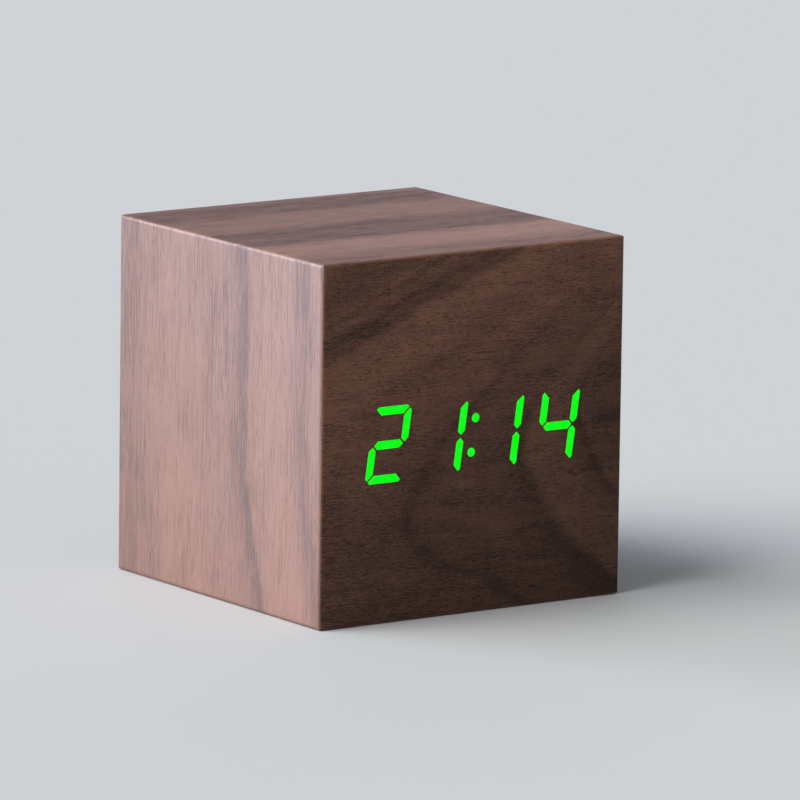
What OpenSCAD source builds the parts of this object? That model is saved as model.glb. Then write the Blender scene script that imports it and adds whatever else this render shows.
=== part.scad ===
// Cube alarm clock.
// A fibreboard case faced with walnut veneer holds a four-digit LED display, whose segments shine through
// the front. A moulded back cover carries three buttons, a sound switch, a power inlet and a battery bay.
// The front faces -Y, +Z is up and the origin is the centre of the underside. All sizes are millimetres.

/* [Case] */
// Length of each side of the cube
side = 68; // [67:0.5:80]
// Thickness of the walnut veneer
veneer_t = 0.6; // [0.4:0.1:0.9]
// Radius of the eased outer edges
edge_r = 0.8; // [0.3:0.1:1.2]
// Thickness of the four sleeve boards
board_t = 5; // [4:0.25:5.5]
// Thickness of the front board
front_board_t = 4; // [3:0.5:6]
// Width and height of the two blocks that take the cover screws
block_w = 7; // [6:0.5:7.5]
// Length of those blocks, from the cover inwards
block_len = 15; // [12:1:20]

/* [Display] */
// The four numerals that are lit, from left to right
shown_time = [2, 1, 1, 4]; // [0:1:9]
// Height of the middle of the numerals above the underside
display_z = 33.4; // [32:0.2:36]
// Overall height of a numeral
digit_h = 14.2; // [12:0.1:15]
// Overall width of an upright numeral
digit_w = 8.5; // [7:0.1:8.8]
// Distance from one numeral to the next
digit_pitch = 12.7; // [12:0.1:13.2]
// Width of a segment
segment_w = 1.55; // [1:0.05:1.8]
// Offset of each segment end from the corner that it shares
segment_gap = 0.25; // [0.15:0.05:0.4]
// Cut on the outer corner of a segment end
segment_tip = 0.4; // [0.1:0.05:0.6]
// Half width of the blunt segment tips at the middle of a numeral
arrow_flat = 0.1; // [0.05:0.05:0.3]
// Slope of the numerals from upright, in degrees
slant = 8; // [0:1:10]
// Diameter of the two colon dots
dot_d = 1.7; // [1.2:0.1:2]
// Distance between the colon dots
dot_spacing = 6.4; // [5:0.1:8]
// Depth of the light guides, from the front face
lens_t = 3; // [2:0.5:5]
// Thickness of the black mask film
mask_t = 0.2; // [0.1:0.05:0.4]
// Border of the reflector beyond the numerals, left and right
reflector_margin = 0.9; // [0.6:0.1:1.2]
// Height of the reflector block
reflector_h = 19; // [17:0.5:21]
// Depth of the reflector block
reflector_t = 8; // [7:0.5:10]
// Length, width and height of one light-emitting chip
led_size = [1.6, 0.8, 0.7]; // [0.4:0.1:2]

/* [Back cover] */
// Thickness of the cover plate
cover_t = 3.2; // [3:0.1:4]
// Depth of the cover plate's face below the back edges
cover_recess = 2; // [1.5:0.1:4]
// Width of each of the two tongues on the lower edge
tongue_w = 8; // [5:0.5:12]
// Thickness of the tongues
tongue_t = 1.4; // [1:0.1:2]
// Reach of the tongues below the cover plate
tongue_reach = 2.4; // [1.5:0.1:3]
// Distance from the middle to each tongue
tongue_x = 14; // [8:0.5:20]

/* [Battery bay] */
// Diameter of a cell
cell_d = 10.4; // [9.8:0.1:10.5]
// Length of a cell with its nub
cell_len = 44.5; // [43.5:0.1:44.6]
// Diameter of the nub on a cell
nub_d = 3.8; // [3:0.1:4.5]
// Length of the nub on a cell
nub_len = 1.2; // [0.8:0.1:1.6]
// Working length of a contact spring
spring_len = 4.6; // [4:0.1:5]
// Wire diameter of a contact spring
spring_wire = 0.6; // [0.4:0.05:0.65]
// Turns of a contact spring
spring_turns = 3.5; // [2.5:0.5:3.5]
// Outside diameter of a contact spring at its plate
spring_d = 7; // [5.5:0.5:8]
// Outside diameter of a contact spring at the cell
spring_tip_d = 5; // [4:0.5:5]
// Thickness of the contact plates
contact_t = 0.4; // [0.3:0.1:0.6]
// Width of the contact plates
contact_w = 8.8; // [7:0.2:9]
// Thickness of the bay's walls
bay_wall = 1.2; // [1:0.1:1.4]
// Rim between the hinge channel and the bay
bay_lip = 0.4; // [0.3:0.1:0.8]
// Thickness of the battery door
door_t = 1.5; // [1.2:0.1:1.8]
// Overlap of the door on the rim of the bay
door_ledge = 0.9; // [0.6:0.1:1]
// Diameter of the knuckle along the door's lower edge
knuckle_d = 2.4; // [2:0.1:2.5]
// Diameter of the hinge pins
hinge_pin_d = 1.2; // [0.8:0.1:1.4]
// Length of the hinge pins
hinge_pin_len = 1.3; // [0.9:0.1:1.5]
// Depth of the hinge line below the cover's face
hinge_depth = 1.3; // [1.25:0.05:1.5]
// Height of the hinge line above the cover's lower edge
hinge_rise = 2.1; // [2.1:0.1:2.6]
// Width of the latch
latch_w = 12; // [9:0.5:16]
// Height of the latch
latch_h = 7; // [6:0.5:9]
// Height of the latch's thumb pad
latch_pad_h = 3.8; // [3.6:0.1:4.5]
// Width of each of the latch's two spring legs
latch_leg_w = 1.2; // [0.8:0.1:1.6]
// Thickness of the latch's spring legs
latch_leg_t = 0.9; // [0.6:0.1:1.1]
// Width of the nib that hooks under the cover
nib_w = 8; // [5:0.5:8.5]
// Thickness of that nib
nib_t = 0.7; // [0.5:0.05:0.8]
// Reach of that nib under the cover
nib_reach = 0.9; // [0.5:0.1:1]

/* [Controls] */
// Diameter of a button
button_d = 5.6; // [4:0.1:6]
// Distance from one button to the next
button_pitch = 9; // [8.5:0.1:10]
// Height of a button above the cover's face
button_proud = 1.2; // [0.6:0.1:1.4]
// Width of the flange that keeps a button in
button_flange = 0.8; // [0.5:0.1:1]
// Thickness of that flange
button_flange_t = 1.5; // [1:0.1:2]
// Bevel round the top of a button
button_bevel = 0.4; // [0.2:0.1:0.6]
// Depth of the mark in a button
mark_depth = 0.25; // [0.1:0.05:0.4]
// Size of the mark in a button
mark_size = 1.3; // [1:0.1:1.5]
// Height of the button row above the middle of the controls
button_rise = 3.6; // [3.4:0.1:4]
// Distance of the lower row below the middle of the controls
lower_drop = 4.4; // [4.2:0.1:4.8]
// Distance from the middle to the power inlet and to the sound switch
lower_x = 9; // [8:0.5:11]
// Width and height of a push switch
tact_w = 6; // [5:0.2:6]
// Height of a push switch's case
tact_case_h = 3.4; // [3:0.1:3.6]
// Height of a push switch with its plunger
tact_h = 5; // [4.6:0.1:6]
// Diameter of a push switch's plunger
plunger_d = 3.4; // [2.5:0.1:3.6]
// Length of the plunger inside its case
plunger_root = 1; // [0.6:0.1:1.6]
// Stroke of a push switch
press = 0.5; // [0.25:0.05:0.6]
// Length, width and height of the sound switch's case
slide_case = [8.6, 4.4, 3.6]; // [3:0.1:10]
// Length and width of the sound switch's lever
slide_lever = [2, 1.8]; // [1:0.1:2.4]
// Thickness of the sound switch's case under its lever
slide_floor = 1.2; // [0.6:0.1:2]
// Width of the two grooves across the lever's tip
groove_w = 0.4; // [0.2:0.05:0.5]
// Stroke of the sound switch
slide_stroke = 2; // [1:0.1:3]
// Height of the sound switch's lever above the cover's face
slide_proud = 1; // [0.5:0.1:1.4]
// Width and height of the power inlet's case
jack_w = 7; // [6.8:0.1:7.4]
// Diameter of the power inlet's collar
jack_collar_d = 6.2; // [5.6:0.1:6.4]
// Bore of the power inlet
jack_bore_d = 3.8; // [3.6:0.1:4.2]
// Depth of the power inlet's bore
jack_depth = 7.4; // [6.5:0.1:8]
// Diameter of the power inlet's pin
jack_pin_d = 1.2; // [1:0.1:1.4]
// Distance of the pin's tip inside the inlet's mouth
jack_pin_inset = 1; // [0.5:0.1:1.5]
// Diameter and length of the root that holds the pin
jack_root = [0.8, 1]; // [0.5:0.1:1.2]
// Diameter of the microphone
mic_d = 6; // [4:0.5:6]
// Height of the microphone
mic_h = 2.7; // [1.5:0.1:4]
// Diameter of the microphone's sound hole in the cover
mic_hole_d = 1.4; // [0.8:0.1:2]

/* [Circuit boards] */
// Thickness of the circuit boards
pcb_t = 1.6; // [1:0.1:1.6]
// Width of the main board
main_w = 38; // [34:0.5:42]
// Height of the main board
main_h = 17; // [17:0.2:18]
// Border of the display board above and below the reflector
display_border = 6.5; // [6.3:0.1:9]
// Distance of the board screws from the boards' edges
screw_inset = 1.8; // [1.7:0.1:2]
// Distance of the display spacers from the display board's edges
spacer_inset = 3; // [2.8:0.1:3.2]
// Outside diameter of the display spacers
spacer_d = 5; // [4:0.1:5]
// Diameter of the bosses under the main board
boss_d = 3.4; // [3:0.1:3.5]
// Body of the clock chip: width, length and height
clock_chip_size = [6, 10, 1.8]; // [1:0.1:11]
// Body of the display driver chip: width, length and height
driver_chip_size = [7.5, 15.4, 2.2]; // [1:0.1:17]
// Distance between the leads of a chip
lead_pitch = 1.27; // [1:0.01:1.27]
// Reach, width and height of a chip lead
lead_size = [1, 0.42, 0.6]; // [0.2:0.02:1.2]
// Height of a chip's body above its board
chip_lift = 0.2; // [0.1:0.05:0.4]
// Diameter of the alarm buzzer
buzzer_d = 9; // [7:0.1:9]
// Height of the alarm buzzer
buzzer_h = 5.5; // [3:0.1:8]
// Diameter of the buzzer's sound hole
buzzer_hole_d = 1.6; // [1:0.1:3]
// Diameter of the backup cell
coin_d = 12.5; // [11:0.1:12.6]
// Thickness of the backup cell
coin_t = 2; // [1.2:0.1:2.5]
// Wall of the backup cell's holder
holder_wall = 0.6; // [0.4:0.1:0.7]
// Width of the clip across the backup cell
clip_w = 3; // [2:0.1:4]
// Thickness of that clip
clip_t = 0.5; // [0.3:0.1:0.8]
// Diameter and length of the crystal
crystal_size = [2, 5]; // [1:0.1:6]
// Diameter and height of the capacitor
capacitor_size = [4, 5.4]; // [3:0.1:8]
// Length, width and height of one resistor
resistor_size = [1.6, 0.8, 0.5]; // [0.3:0.1:2]
// Number of segment resistors
resistor_count = 8; // [4:1:8]
// Distance between the resistors
resistor_pitch = 3; // [2.5:0.1:4]
// Width of the ribbon cable
ribbon_w = 12.7; // [8:0.1:14]
// Thickness of the ribbon cable
ribbon_t = 0.9; // [0.6:0.1:1]
// Diameter of the battery leads
lead_d = 1; // [0.8:0.1:1.1]

/* [Screws] */
// Shank diameter of the cover and display screws
screw_d = 2.2; // [1.8:0.1:2.4]
// Head diameter of those screws
screw_head_d = 4; // [3.4:0.1:4.2]
// Head height of those screws
screw_head_t = 1.3; // [1:0.1:1.5]
// Depth of the cover screws in their blocks
cover_screw_bite = 8; // [5:0.5:11]
// Shank diameter of the main board screws
small_screw_d = 1.6; // [1.2:0.1:1.8]
// Head diameter of the main board screws
small_head_d = 3; // [2.6:0.1:3.2]
// Head height of the main board screws
small_head_t = 1.1; // [0.8:0.1:1.3]
// Depth of the main board screws in their bosses
small_screw_bite = 4; // [3:0.5:5.5]
// Width of the slot in a screw head
driver_slot_w = 0.6; // [0.4:0.1:0.8]
// Depth of the slot in a screw head
driver_slot_depth = 0.6; // [0.4:0.1:0.8]
// Wood left in front of the tips of the display screws
screw_cover = 1.2; // [0.8:0.1:1.5]

/* [Clearances] */
// Gap between the cover plate and the case
cover_gap = 0.2; // [0.1:0.05:0.4]
// Gap round the tongues in their slots
slot_gap = 0.25; // [0.15:0.05:0.4]
// Gap round the battery door
door_gap = 0.25; // [0.15:0.05:0.4]
// Gap under the battery door
seat_gap = 0.1; // [0.05:0.05:0.2]
// Gap round the hinge pins
pin_gap = 0.1; // [0.05:0.01:0.15]
// Gap round the door's knuckle
knuckle_gap = 0.3; // [0.2:0.05:0.35]
// Gap round the latch and its nib
latch_gap = 0.3; // [0.15:0.05:0.4]
// Gap between cells, and between the cells and the bay
cell_gap = 0.3; // [0.2:0.05:0.35]
// Gap round the buttons and round their plungers
button_gap = 0.2; // [0.1:0.05:0.3]
// Gap between a button's flange and the cover
stop_gap = 0.1; // [0.05:0.05:0.2]
// Gap round the sound switch's lever
lever_gap = 0.25; // [0.15:0.05:0.4]
// Gap round the power inlet's collar
jack_gap = 0.2; // [0.1:0.05:0.3]
// Gap round the reflector in the front board
window_gap = 0.3; // [0.1:0.05:0.5]
// Gap between the display board and the case
board_gap = 0.9; // [0.5:0.1:1.5]
// Gap round the screw shanks in plain holes
hole_gap = 0.2; // [0.1:0.05:0.3]
// Gap round the screw heads in the cover
head_gap = 0.3; // [0.1:0.05:0.5]
// Gap round the backup cell in its holder
coin_gap = 0.1; // [0.05:0.05:0.2]
// Gap round the battery leads where they leave the bay
lead_gap = 0.3; // [0.2:0.05:0.4]

/* [Hidden] */

$fn = 64;
// Overlap that makes a cut or a join pass cleanly through a face
cut = 1;
// Number of cells in the battery bay
cell_count = 3;
// Number of numerals in the display
digit_count = 4;

// Case: half width over the boards, half width inside them, and the levels of the main planes
half = side / 2;
shell = half - veneer_t;
cavity = shell - board_t;
floor_z = half - cavity;
front_in = front_board_t - shell;

// Display: stack of planes from the front, and the numerals' own measures
mask_y = -shell;
reflector_y = mask_y + mask_t;
display_front = reflector_y + reflector_t;
display_back = display_front + pcb_t;
lean = tan(slant);
column_u = (digit_w - segment_w) / 2;
bar_v = (digit_h - segment_w) / 2;
seg_half = segment_w / 2;
middle_gap = segment_gap + arrow_flat;
reflector_w = (digit_count - 1) * digit_pitch + digit_w + digit_h * lean + 2 * reflector_margin;
display_w = 2 * (cavity - board_gap);
display_h = reflector_h + 2 * display_border;
spacer_x = display_w / 2 - spacer_inset;
spacer_dz = display_h / 2 - spacer_inset;
spacer_len = display_front - front_in;

// Segments a to g that each numeral lights
LIT = ["1111110", "0110000", "1101101", "1111001", "0110011",
       "1011011", "1011111", "1110000", "1111111", "1111011"];

// Back cover and battery bay
cover_out = half - cover_recess;
cover_in = cover_out - cover_t;
cover_half = cavity - cover_gap;
cover_z0 = half - cover_half;
cover_z1 = half + cover_half;
block_mid = cavity - block_w / 2;
hinge_y = cover_out - hinge_depth;
hinge_z = cover_z0 + hinge_rise;
channel_r = knuckle_d / 2 + knuckle_gap;
cell_pitch = cell_d + cell_gap;
bay_z0 = hinge_z + channel_r + bay_lip;
bay_z1 = bay_z0 + cell_count * cell_pitch + cell_gap;
bay_half = cell_len / 2 + spring_len / 2 + contact_t;
door_in = cover_out - door_t;
door_half = bay_half + door_ledge;
door_top = bay_z1 + door_ledge;
cell_y = door_in - cell_gap - cell_d / 2;
bay_in = cell_y - cell_d / 2 - cell_gap;
latch_z = door_top - latch_h;
pad_z = door_top - latch_pad_h;
nib_top = door_top + door_gap + nib_reach;

// Cells lie across the bay, one above the other, each turned end for end from the one below
function cell_z(i) = bay_z0 + cell_gap + cell_d / 2 + i * cell_pitch;
function cell_way(i) = i % 2 == 0 ? -1 : 1;
plate_x = bay_half - contact_t;

// Controls and main board
controls_z = (bay_z1 + bay_wall + cover_z1) / 2;
button_z = controls_z + button_rise;
lower_z = controls_z - lower_drop;
boss_h = tact_h + button_flange_t + stop_gap;
main_back = cover_in - boss_h;
main_in = main_back - pcb_t;
button_in = main_back + tact_h;
plunger_in = main_back + tact_case_h - plunger_root;
main_screw_x = main_w / 2 - screw_inset;
main_screw_dz = main_h / 2 - screw_inset;
jack_floor = cover_out - jack_depth;
holder_d = coin_d + 2 * coin_gap + 2 * holder_wall;
clip_z = holder_wall + coin_t + coin_gap;

// Places on the inner face of the main board, from its middle: cell, buzzer and clock chip side by side,
// below the room that the ribbon needs, with the capacitor and the crystal along the lower edge
board_rim = 0.4;
part_gap = 0.3;
ribbon_room = 2.6;
coin_at = [main_w / 2 - board_rim - holder_d / 2, 0];
buzzer_at = [coin_at[0] - (holder_d + buzzer_d) / 2 - part_gap, (main_h - buzzer_d) / 2 - ribbon_room];
chip_edge = buzzer_at[0] - buzzer_d / 2 - part_gap;
clock_chip_at = [chip_edge - clock_chip_size[0] / 2 - lead_size[0], 0];
capacitor_at = [chip_edge + part_gap + capacitor_size[0] / 2, (capacitor_size[0] - main_h) / 2 + board_rim];
crystal_at = [capacitor_at[0] + capacitor_size[0] / 2 + part_gap, (crystal_size[0] - main_h) / 2 + board_rim];

// Places on the inner face of the display board, from the middle of the numerals
driver_chip_at = [0, -5];
resistors_at = [0, -12];
ribbon_drop = 10;
ribbon_inset = 0.8;
// Reach of the ribbon's straight pull away from each board
ribbon_pull = 15;

// Solder pads of the battery leads, from the middle of the clock chip and of the backup cell
red_pad = [-1.6, -6.4];
black_pad = [-3.8, -7.5];

// Routes of the battery leads, from contact plate to main board
red_from = [-plate_x + 0.25, cell_y - contact_w / 2 + 0.6, cell_z(2) + contact_w / 2];
red_to = [clock_chip_at[0] + red_pad[0], main_in, controls_z + red_pad[1]];
red_route = [
  for (p = [[0, 0, 0], [0, 0, 1.5], [0.1, -0.1, 3.1], [0.9, -0.8, 4.5], [2.9, -2.2, 5.3]])
    red_from + p,
  for (p = [[-6.6, -3, 0.4], [-3.6, -3.4, 0.4], [-1.2, -2.8, 0.2], [0, -1.4, 0], [0, 0, 0]])
    red_to + p];
black_from = [bay_half, cell_y - contact_w / 2 + 1.4, cell_z(0) - 2.3];
black_turn = [bay_half, cell_y - contact_w / 2 + 1.4, bay_z1];
black_to = [coin_at[0] + black_pad[0], main_in, controls_z + black_pad[1]];
black_route = [
  for (p = [[0, 0, 0], [1.25, 0, 0], [2.05, 0, 0.4], [2.35, 0, 1.6], [2.35, 0, 7], [2.35, 0, 13]])
    black_from + p,
  for (p = [[2.35, 0, -10], [2.35, 0, -4], [2.15, -0.4, 0], [1.45, -1.2, 2.4], [-0.55, -2.6, 3.6]])
    black_turn + p,
  for (p = [[14.6, -2.8, 0.7], [10.2, -3.4, 0.1], [5.2, -3.4, -0.5],
            [1.6, -2.8, -0.4], [0, -1.4, 0], [0, 0, 0]])
    black_to + p];
lead_sides = 8;

// Box between two opposite corners
module block(low, high)
  translate(low) cube(high - low);

// Round bar along Y between two depths
module bar_y(d, y0, y1, x, z)
  translate([x, y0, z]) rotate([-90, 0, 0]) cylinder(d = d, h = y1 - y0);

// Round bar along X between two places
module bar_x(d, x0, x1, y, z)
  translate([x0, y, z]) rotate([0, 90, 0]) cylinder(d = d, h = x1 - x0);

// Upright outline, seen from the front, filled between two depths
module slab(y0, y1)
  translate([0, y1, 0]) rotate([90, 0, 0]) linear_extrude(y1 - y0) children();

// Seat for a piece that stands on a board's inner face, pointing to the front
module on_inner_face(y, x, z)
  translate([x, y, z]) rotate([90, 0, 0]) children();

// Slotted pan-head screw along Y: the shank runs forwards from the head
module screw(d, head_d, head_t, length) {
  difference() {
    bar_y(head_d, 0, head_t, 0, 0);
    block([-head_d, head_t - driver_slot_depth, -driver_slot_w / 2],
          [head_d, head_t + cut, driver_slot_w / 2]);
  }
  bar_y(d, -length, 0, 0, 0);
}

// Chip on a board: a body with a row of leads on each long side, standing on the plane z = 0
module chip(size) {
  lead_count = floor(size[1] / lead_pitch);
  translate([-size[0] / 2, -size[1] / 2, chip_lift]) cube(size);
  for (i = [0:lead_count - 1])
    translate([-size[0] / 2 - lead_size[0], (i - (lead_count - 1) / 2) * lead_pitch - lead_size[1] / 2, 0])
      cube([size[0] + 2 * lead_size[0], lead_size[1], lead_size[2]]);
}

// Closed tube through rings of points, each ring in the same order
module tube(rings) {
  n = len(rings[0]);
  last = len(rings) - 1;
  walls = [for (i = [0:last - 1]) for (j = [0:n - 1]) for (half_face = [0, 1])
    half_face == 0
      ? [i * n + j, (i + 1) * n + j, i * n + (j + 1) % n]
      : [i * n + (j + 1) % n, (i + 1) * n + j, (i + 1) * n + (j + 1) % n]];
  ends = [for (j = [1:n - 2]) each [[0, j, j + 1], [last * n, last * n + j + 1, last * n + j]]];
  polyhedron(points = [for (ring = rings) each ring], faces = concat(walls, ends));
}

// Rings of a wire along a route: each is square to the route and turned as little as can be from the last
function unit(v) = v / norm(v);
function heading(route, i) = unit(route[min(i + 1, len(route) - 1)] - route[max(i - 1, 0)]);
function square_to(u, way) = unit(u - (u * way) * way);
function wire_ring(centre, way, u, r, sides) =
  let (v = cross(way, u))
  [for (j = [0:sides - 1]) centre + r * (cos(360 * j / sides) * u + sin(360 * j / sides) * v)];
function wire_sides(route, u, i = 0) =
  i == len(route) ? [] :
    let (next = square_to(u, heading(route, i)))
    concat([next], wire_sides(route, next, i + 1));
function wire_rings(route, across, d, sides) =
  let (us = wire_sides(route, across))
  [for (i = [0:len(route) - 1]) wire_ring(route[i], heading(route, i), us[i], d / 2, sides)];

// Outline of one segment, upright, from the middle of its numeral
function flip_u(outline) = [for (p = outline) [-p[0], p[1]]];
function flip_v(outline) = [for (p = outline) [p[0], -p[1]]];
function backwards(outline) = [for (i = [len(outline) - 1:-1:0]) outline[i]];
function bar_end() = [
  [column_u + seg_half - segment_gap - 2 * segment_tip, bar_v + seg_half],
  [column_u + seg_half - segment_gap - segment_tip, bar_v + seg_half - segment_tip],
  [column_u - seg_half - segment_gap, bar_v - seg_half]];
function bar() = concat(bar_end(), backwards(flip_u(bar_end())));
function column_end() = [for (p = bar_end()) [column_u + p[1] - bar_v, bar_v + p[0] - column_u]];
function column() = concat(column_end(), [
  [column_u - seg_half, middle_gap + seg_half - arrow_flat],
  [column_u - arrow_flat, middle_gap],
  [column_u + arrow_flat, middle_gap],
  [column_u + seg_half, middle_gap + seg_half - arrow_flat]]);
function middle_end() = [
  [column_u - middle_gap - seg_half + arrow_flat, seg_half],
  [column_u - middle_gap, arrow_flat],
  [column_u - middle_gap, -arrow_flat],
  [column_u - middle_gap - seg_half + arrow_flat, -seg_half]];
function middle_bar() = concat(middle_end(), backwards(flip_u(middle_end())));
function segment(k) = [
  bar(), column(), flip_v(column()), flip_v(bar()),
  flip_u(flip_v(column())), flip_u(column()), middle_bar()][k];
function segment_middle(k) = [
  [0, bar_v], [column_u, bar_v / 2], [column_u, -bar_v / 2], [0, -bar_v],
  [-column_u, -bar_v / 2], [-column_u, bar_v / 2], [0, 0]][k];
function is_column(k) = k == 1 || k == 2 || k == 4 || k == 5;
function is_lit(i, k) = LIT[shown_time[i]][k] == "1";

// Place on the sloping numeral i, as x and z
middle_digit = (digit_count - 1) / 2;
function on_digit(i, p) = [(i - middle_digit) * digit_pitch + p[0] + p[1] * lean, display_z + p[1]];
function dot_at(s) = on_digit(middle_digit, [0, s * dot_spacing / 2]);

module segment_prism(i, k, y0, y1)
  slab(y0, y1) polygon([for (p = segment(k)) on_digit(i, p)]);

module colon_dots(y0, y1)
  for (s = [-1, 1])
    bar_y(dot_d, y0, y1, dot_at(s)[0], dot_at(s)[1]);

// Every segment and both dots, as cutters
module all_segments(y0, y1) {
  for (i = [0:digit_count - 1])
    for (k = [0:6])
      segment_prism(i, k, y0, y1);
  colon_dots(y0, y1);
}

// One veneer sheet, facing up on a cube about the origin, mitred to its neighbours
arc_steps = 5;
function edge_arc(s) = [for (i = [0:arc_steps])
  let (angle = 45 + 45 * i / arc_steps)
  [s * (half - edge_r + edge_r * cos(angle)), half - edge_r + edge_r * sin(angle)]];
function sheet_outline() = concat([[shell, shell]], edge_arc(1), backwards(edge_arc(-1)), [[-shell, shell]]);

module sheet()
  intersection() {
    slab(-half, half) polygon(sheet_outline());
    rotate([0, 0, 90]) slab(-half, half) polygon(sheet_outline());
  }

module at_middle()
  translate([0, 0, half]) children();

// One mitred board of the sleeve, turned about Y from the top
module sleeve_board(turn)
  at_middle() rotate([0, turn, 0])
    slab(front_in, shell) polygon([[-shell, shell], [shell, shell], [cavity, cavity], [-cavity, cavity]]);

module front_veneer()
  color("saddlebrown")
    difference() {
      at_middle() rotate([90, 0, 0]) sheet();
      all_segments(-half - cut, mask_y + cut);
    }

module top_veneer()
  color("rosybrown") at_middle() sheet();

module bottom_veneer()
  color("rosybrown") at_middle() rotate([180, 0, 0]) sheet();

module left_veneer()
  color("tan") at_middle() rotate([0, -90, 0]) sheet();

module right_veneer()
  color("tan") at_middle() rotate([0, 90, 0]) sheet();

module back_edging()
  color("saddlebrown")
    difference() {
      at_middle() rotate([-90, 0, 0]) sheet();
      at_middle() block([-cavity, shell - cut, -cavity], [cavity, half + cut, cavity]);
    }

module front_board()
  color("burlywood")
    difference() {
      at_middle() block([-shell, -shell, -shell], [shell, front_in, shell]);
      translate([0, 0, display_z])
        block([-reflector_w / 2 - window_gap, -shell - cut, -reflector_h / 2 - window_gap],
              [reflector_w / 2 + window_gap, front_in + cut, reflector_h / 2 + window_gap]);
      for (x = [-spacer_x, spacer_x])
        for (z = [-spacer_dz, spacer_dz])
          bar_y(screw_d, screw_cover - shell, front_in + cut, x, display_z + z);
    }

module top_board()
  color("burlywood") sleeve_board(0);

module right_board()
  color("burlywood") sleeve_board(90);

module left_board()
  color("burlywood") sleeve_board(-90);

module bottom_board()
  color("burlywood")
    difference() {
      sleeve_board(180);
      for (x = [-tongue_x, tongue_x])
        block([x - tongue_w / 2 - slot_gap, cover_in - slot_gap, cover_z0 - tongue_reach - slot_gap],
              [x + tongue_w / 2 + slot_gap, cover_in + tongue_t + slot_gap, floor_z + cut]);
    }

module cover_blocks()
  color("peru")
    for (x = [-block_mid, block_mid])
      difference() {
        translate([x, 0, half + block_mid])
          block([-block_w / 2, cover_in - block_len, -block_w / 2], [block_w / 2, cover_in, block_w / 2]);
        bar_y(screw_d, cover_in - cover_screw_bite, cover_in + cut, x, half + block_mid);
      }

module lit_lenses()
  color("lime") {
    for (i = [0:digit_count - 1])
      for (k = [0:6])
        if (is_lit(i, k)) segment_prism(i, k, -half, lens_t - half);
    colon_dots(-half, lens_t - half);
  }

module dark_lenses()
  color("saddlebrown")
    for (i = [0:digit_count - 1])
      for (k = [0:6])
        if (!is_lit(i, k)) segment_prism(i, k, -half, lens_t - half);

module segment_mask()
  color("black")
    difference() {
      translate([0, 0, display_z])
        block([-reflector_w / 2, mask_y, -reflector_h / 2], [reflector_w / 2, reflector_y, reflector_h / 2]);
      all_segments(mask_y - cut, reflector_y + cut);
    }

module display_reflector()
  color("white")
    difference() {
      translate([0, 0, display_z])
        block([-reflector_w / 2, reflector_y, -reflector_h / 2],
              [reflector_w / 2, display_front, reflector_h / 2]);
      all_segments(reflector_y - cut, display_front + cut);
    }

// One light-emitting chip at a place on the display board
module led(at, w, h)
  translate([at[0] - w / 2, display_front - led_size[2], at[1] - h / 2])
    cube([w, led_size[2], h]);

module led_chips()
  color("lightyellow") {
    for (i = [0:digit_count - 1])
      for (k = [0:6])
        if (is_column(k)) led(on_digit(i, segment_middle(k)), led_size[1], led_size[0]);
        else led(on_digit(i, segment_middle(k)), led_size[0], led_size[1]);
    for (s = [-1, 1])
      led(dot_at(s), led_size[1], led_size[1]);
  }

module display_board()
  color("darkgreen")
    difference() {
      translate([0, 0, display_z])
        block([-display_w / 2, display_front, -display_h / 2], [display_w / 2, display_back, display_h / 2]);
      for (x = [-spacer_x, spacer_x])
        for (z = [-spacer_dz, spacer_dz])
          bar_y(screw_d + 2 * hole_gap, display_front - cut, display_back + cut, x, display_z + z);
    }

module display_spacers()
  color("white")
    for (x = [-spacer_x, spacer_x])
      for (z = [-spacer_dz, spacer_dz])
        difference() {
          bar_y(spacer_d, front_in, display_front, x, display_z + z);
          bar_y(screw_d + 2 * hole_gap, front_in - cut, display_front + cut, x, display_z + z);
        }

module display_screws()
  color("silver")
    for (x = [-spacer_x, spacer_x])
      for (z = [-spacer_dz, spacer_dz])
        translate([x, display_back, display_z + z])
          screw(screw_d, screw_head_d, screw_head_t, display_back + shell - screw_cover);

module display_driver_chip()
  color("dimgray")
    translate([driver_chip_at[0], display_back, display_z + driver_chip_at[1]])
      rotate([-90, 0, 0]) rotate([0, 0, 90]) chip(driver_chip_size);

module segment_resistors()
  color("black")
    for (i = [0:resistor_count - 1])
      translate([resistors_at[0] + (i - (resistor_count - 1) / 2) * resistor_pitch - resistor_size[0] / 2,
                 display_back, display_z + resistors_at[1] - resistor_size[1] / 2])
        cube([resistor_size[0], resistor_size[2], resistor_size[1]]);

// Ribbon: one smooth curve between the two boards, square to both
ribbon_steps = 24;
ribbon_main_z = controls_z + main_h / 2 - ribbon_inset;
ribbon_display_z = display_z + ribbon_drop;
function ribbon_point(t) =
  (1 - t) ^ 3 * [display_back, ribbon_display_z]
  + 3 * t * (1 - t) ^ 2 * [display_back + ribbon_pull, ribbon_display_z]
  + 3 * t ^ 2 * (1 - t) * [main_in - ribbon_pull, ribbon_main_z]
  + t ^ 3 * [main_in, ribbon_main_z];
function ribbon_way(t) =
  3 * (1 - t) ^ 2 * [ribbon_pull, 0]
  + 6 * t * (1 - t) * [main_in - display_back - 2 * ribbon_pull, ribbon_main_z - ribbon_display_z]
  + 3 * t ^ 2 * [ribbon_pull, 0];
function ribbon_side(s) = [for (i = [0:ribbon_steps])
  let (t = i / ribbon_steps, way = unit(ribbon_way(t)))
  ribbon_point(t) + s * ribbon_t / 2 * [-way[1], way[0]]];

module display_ribbon()
  color("lightgray")
    translate([-ribbon_w / 2, 0, 0]) rotate([90, 0, 90])
      linear_extrude(ribbon_w) polygon(concat(ribbon_side(1), backwards(ribbon_side(-1))));

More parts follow.
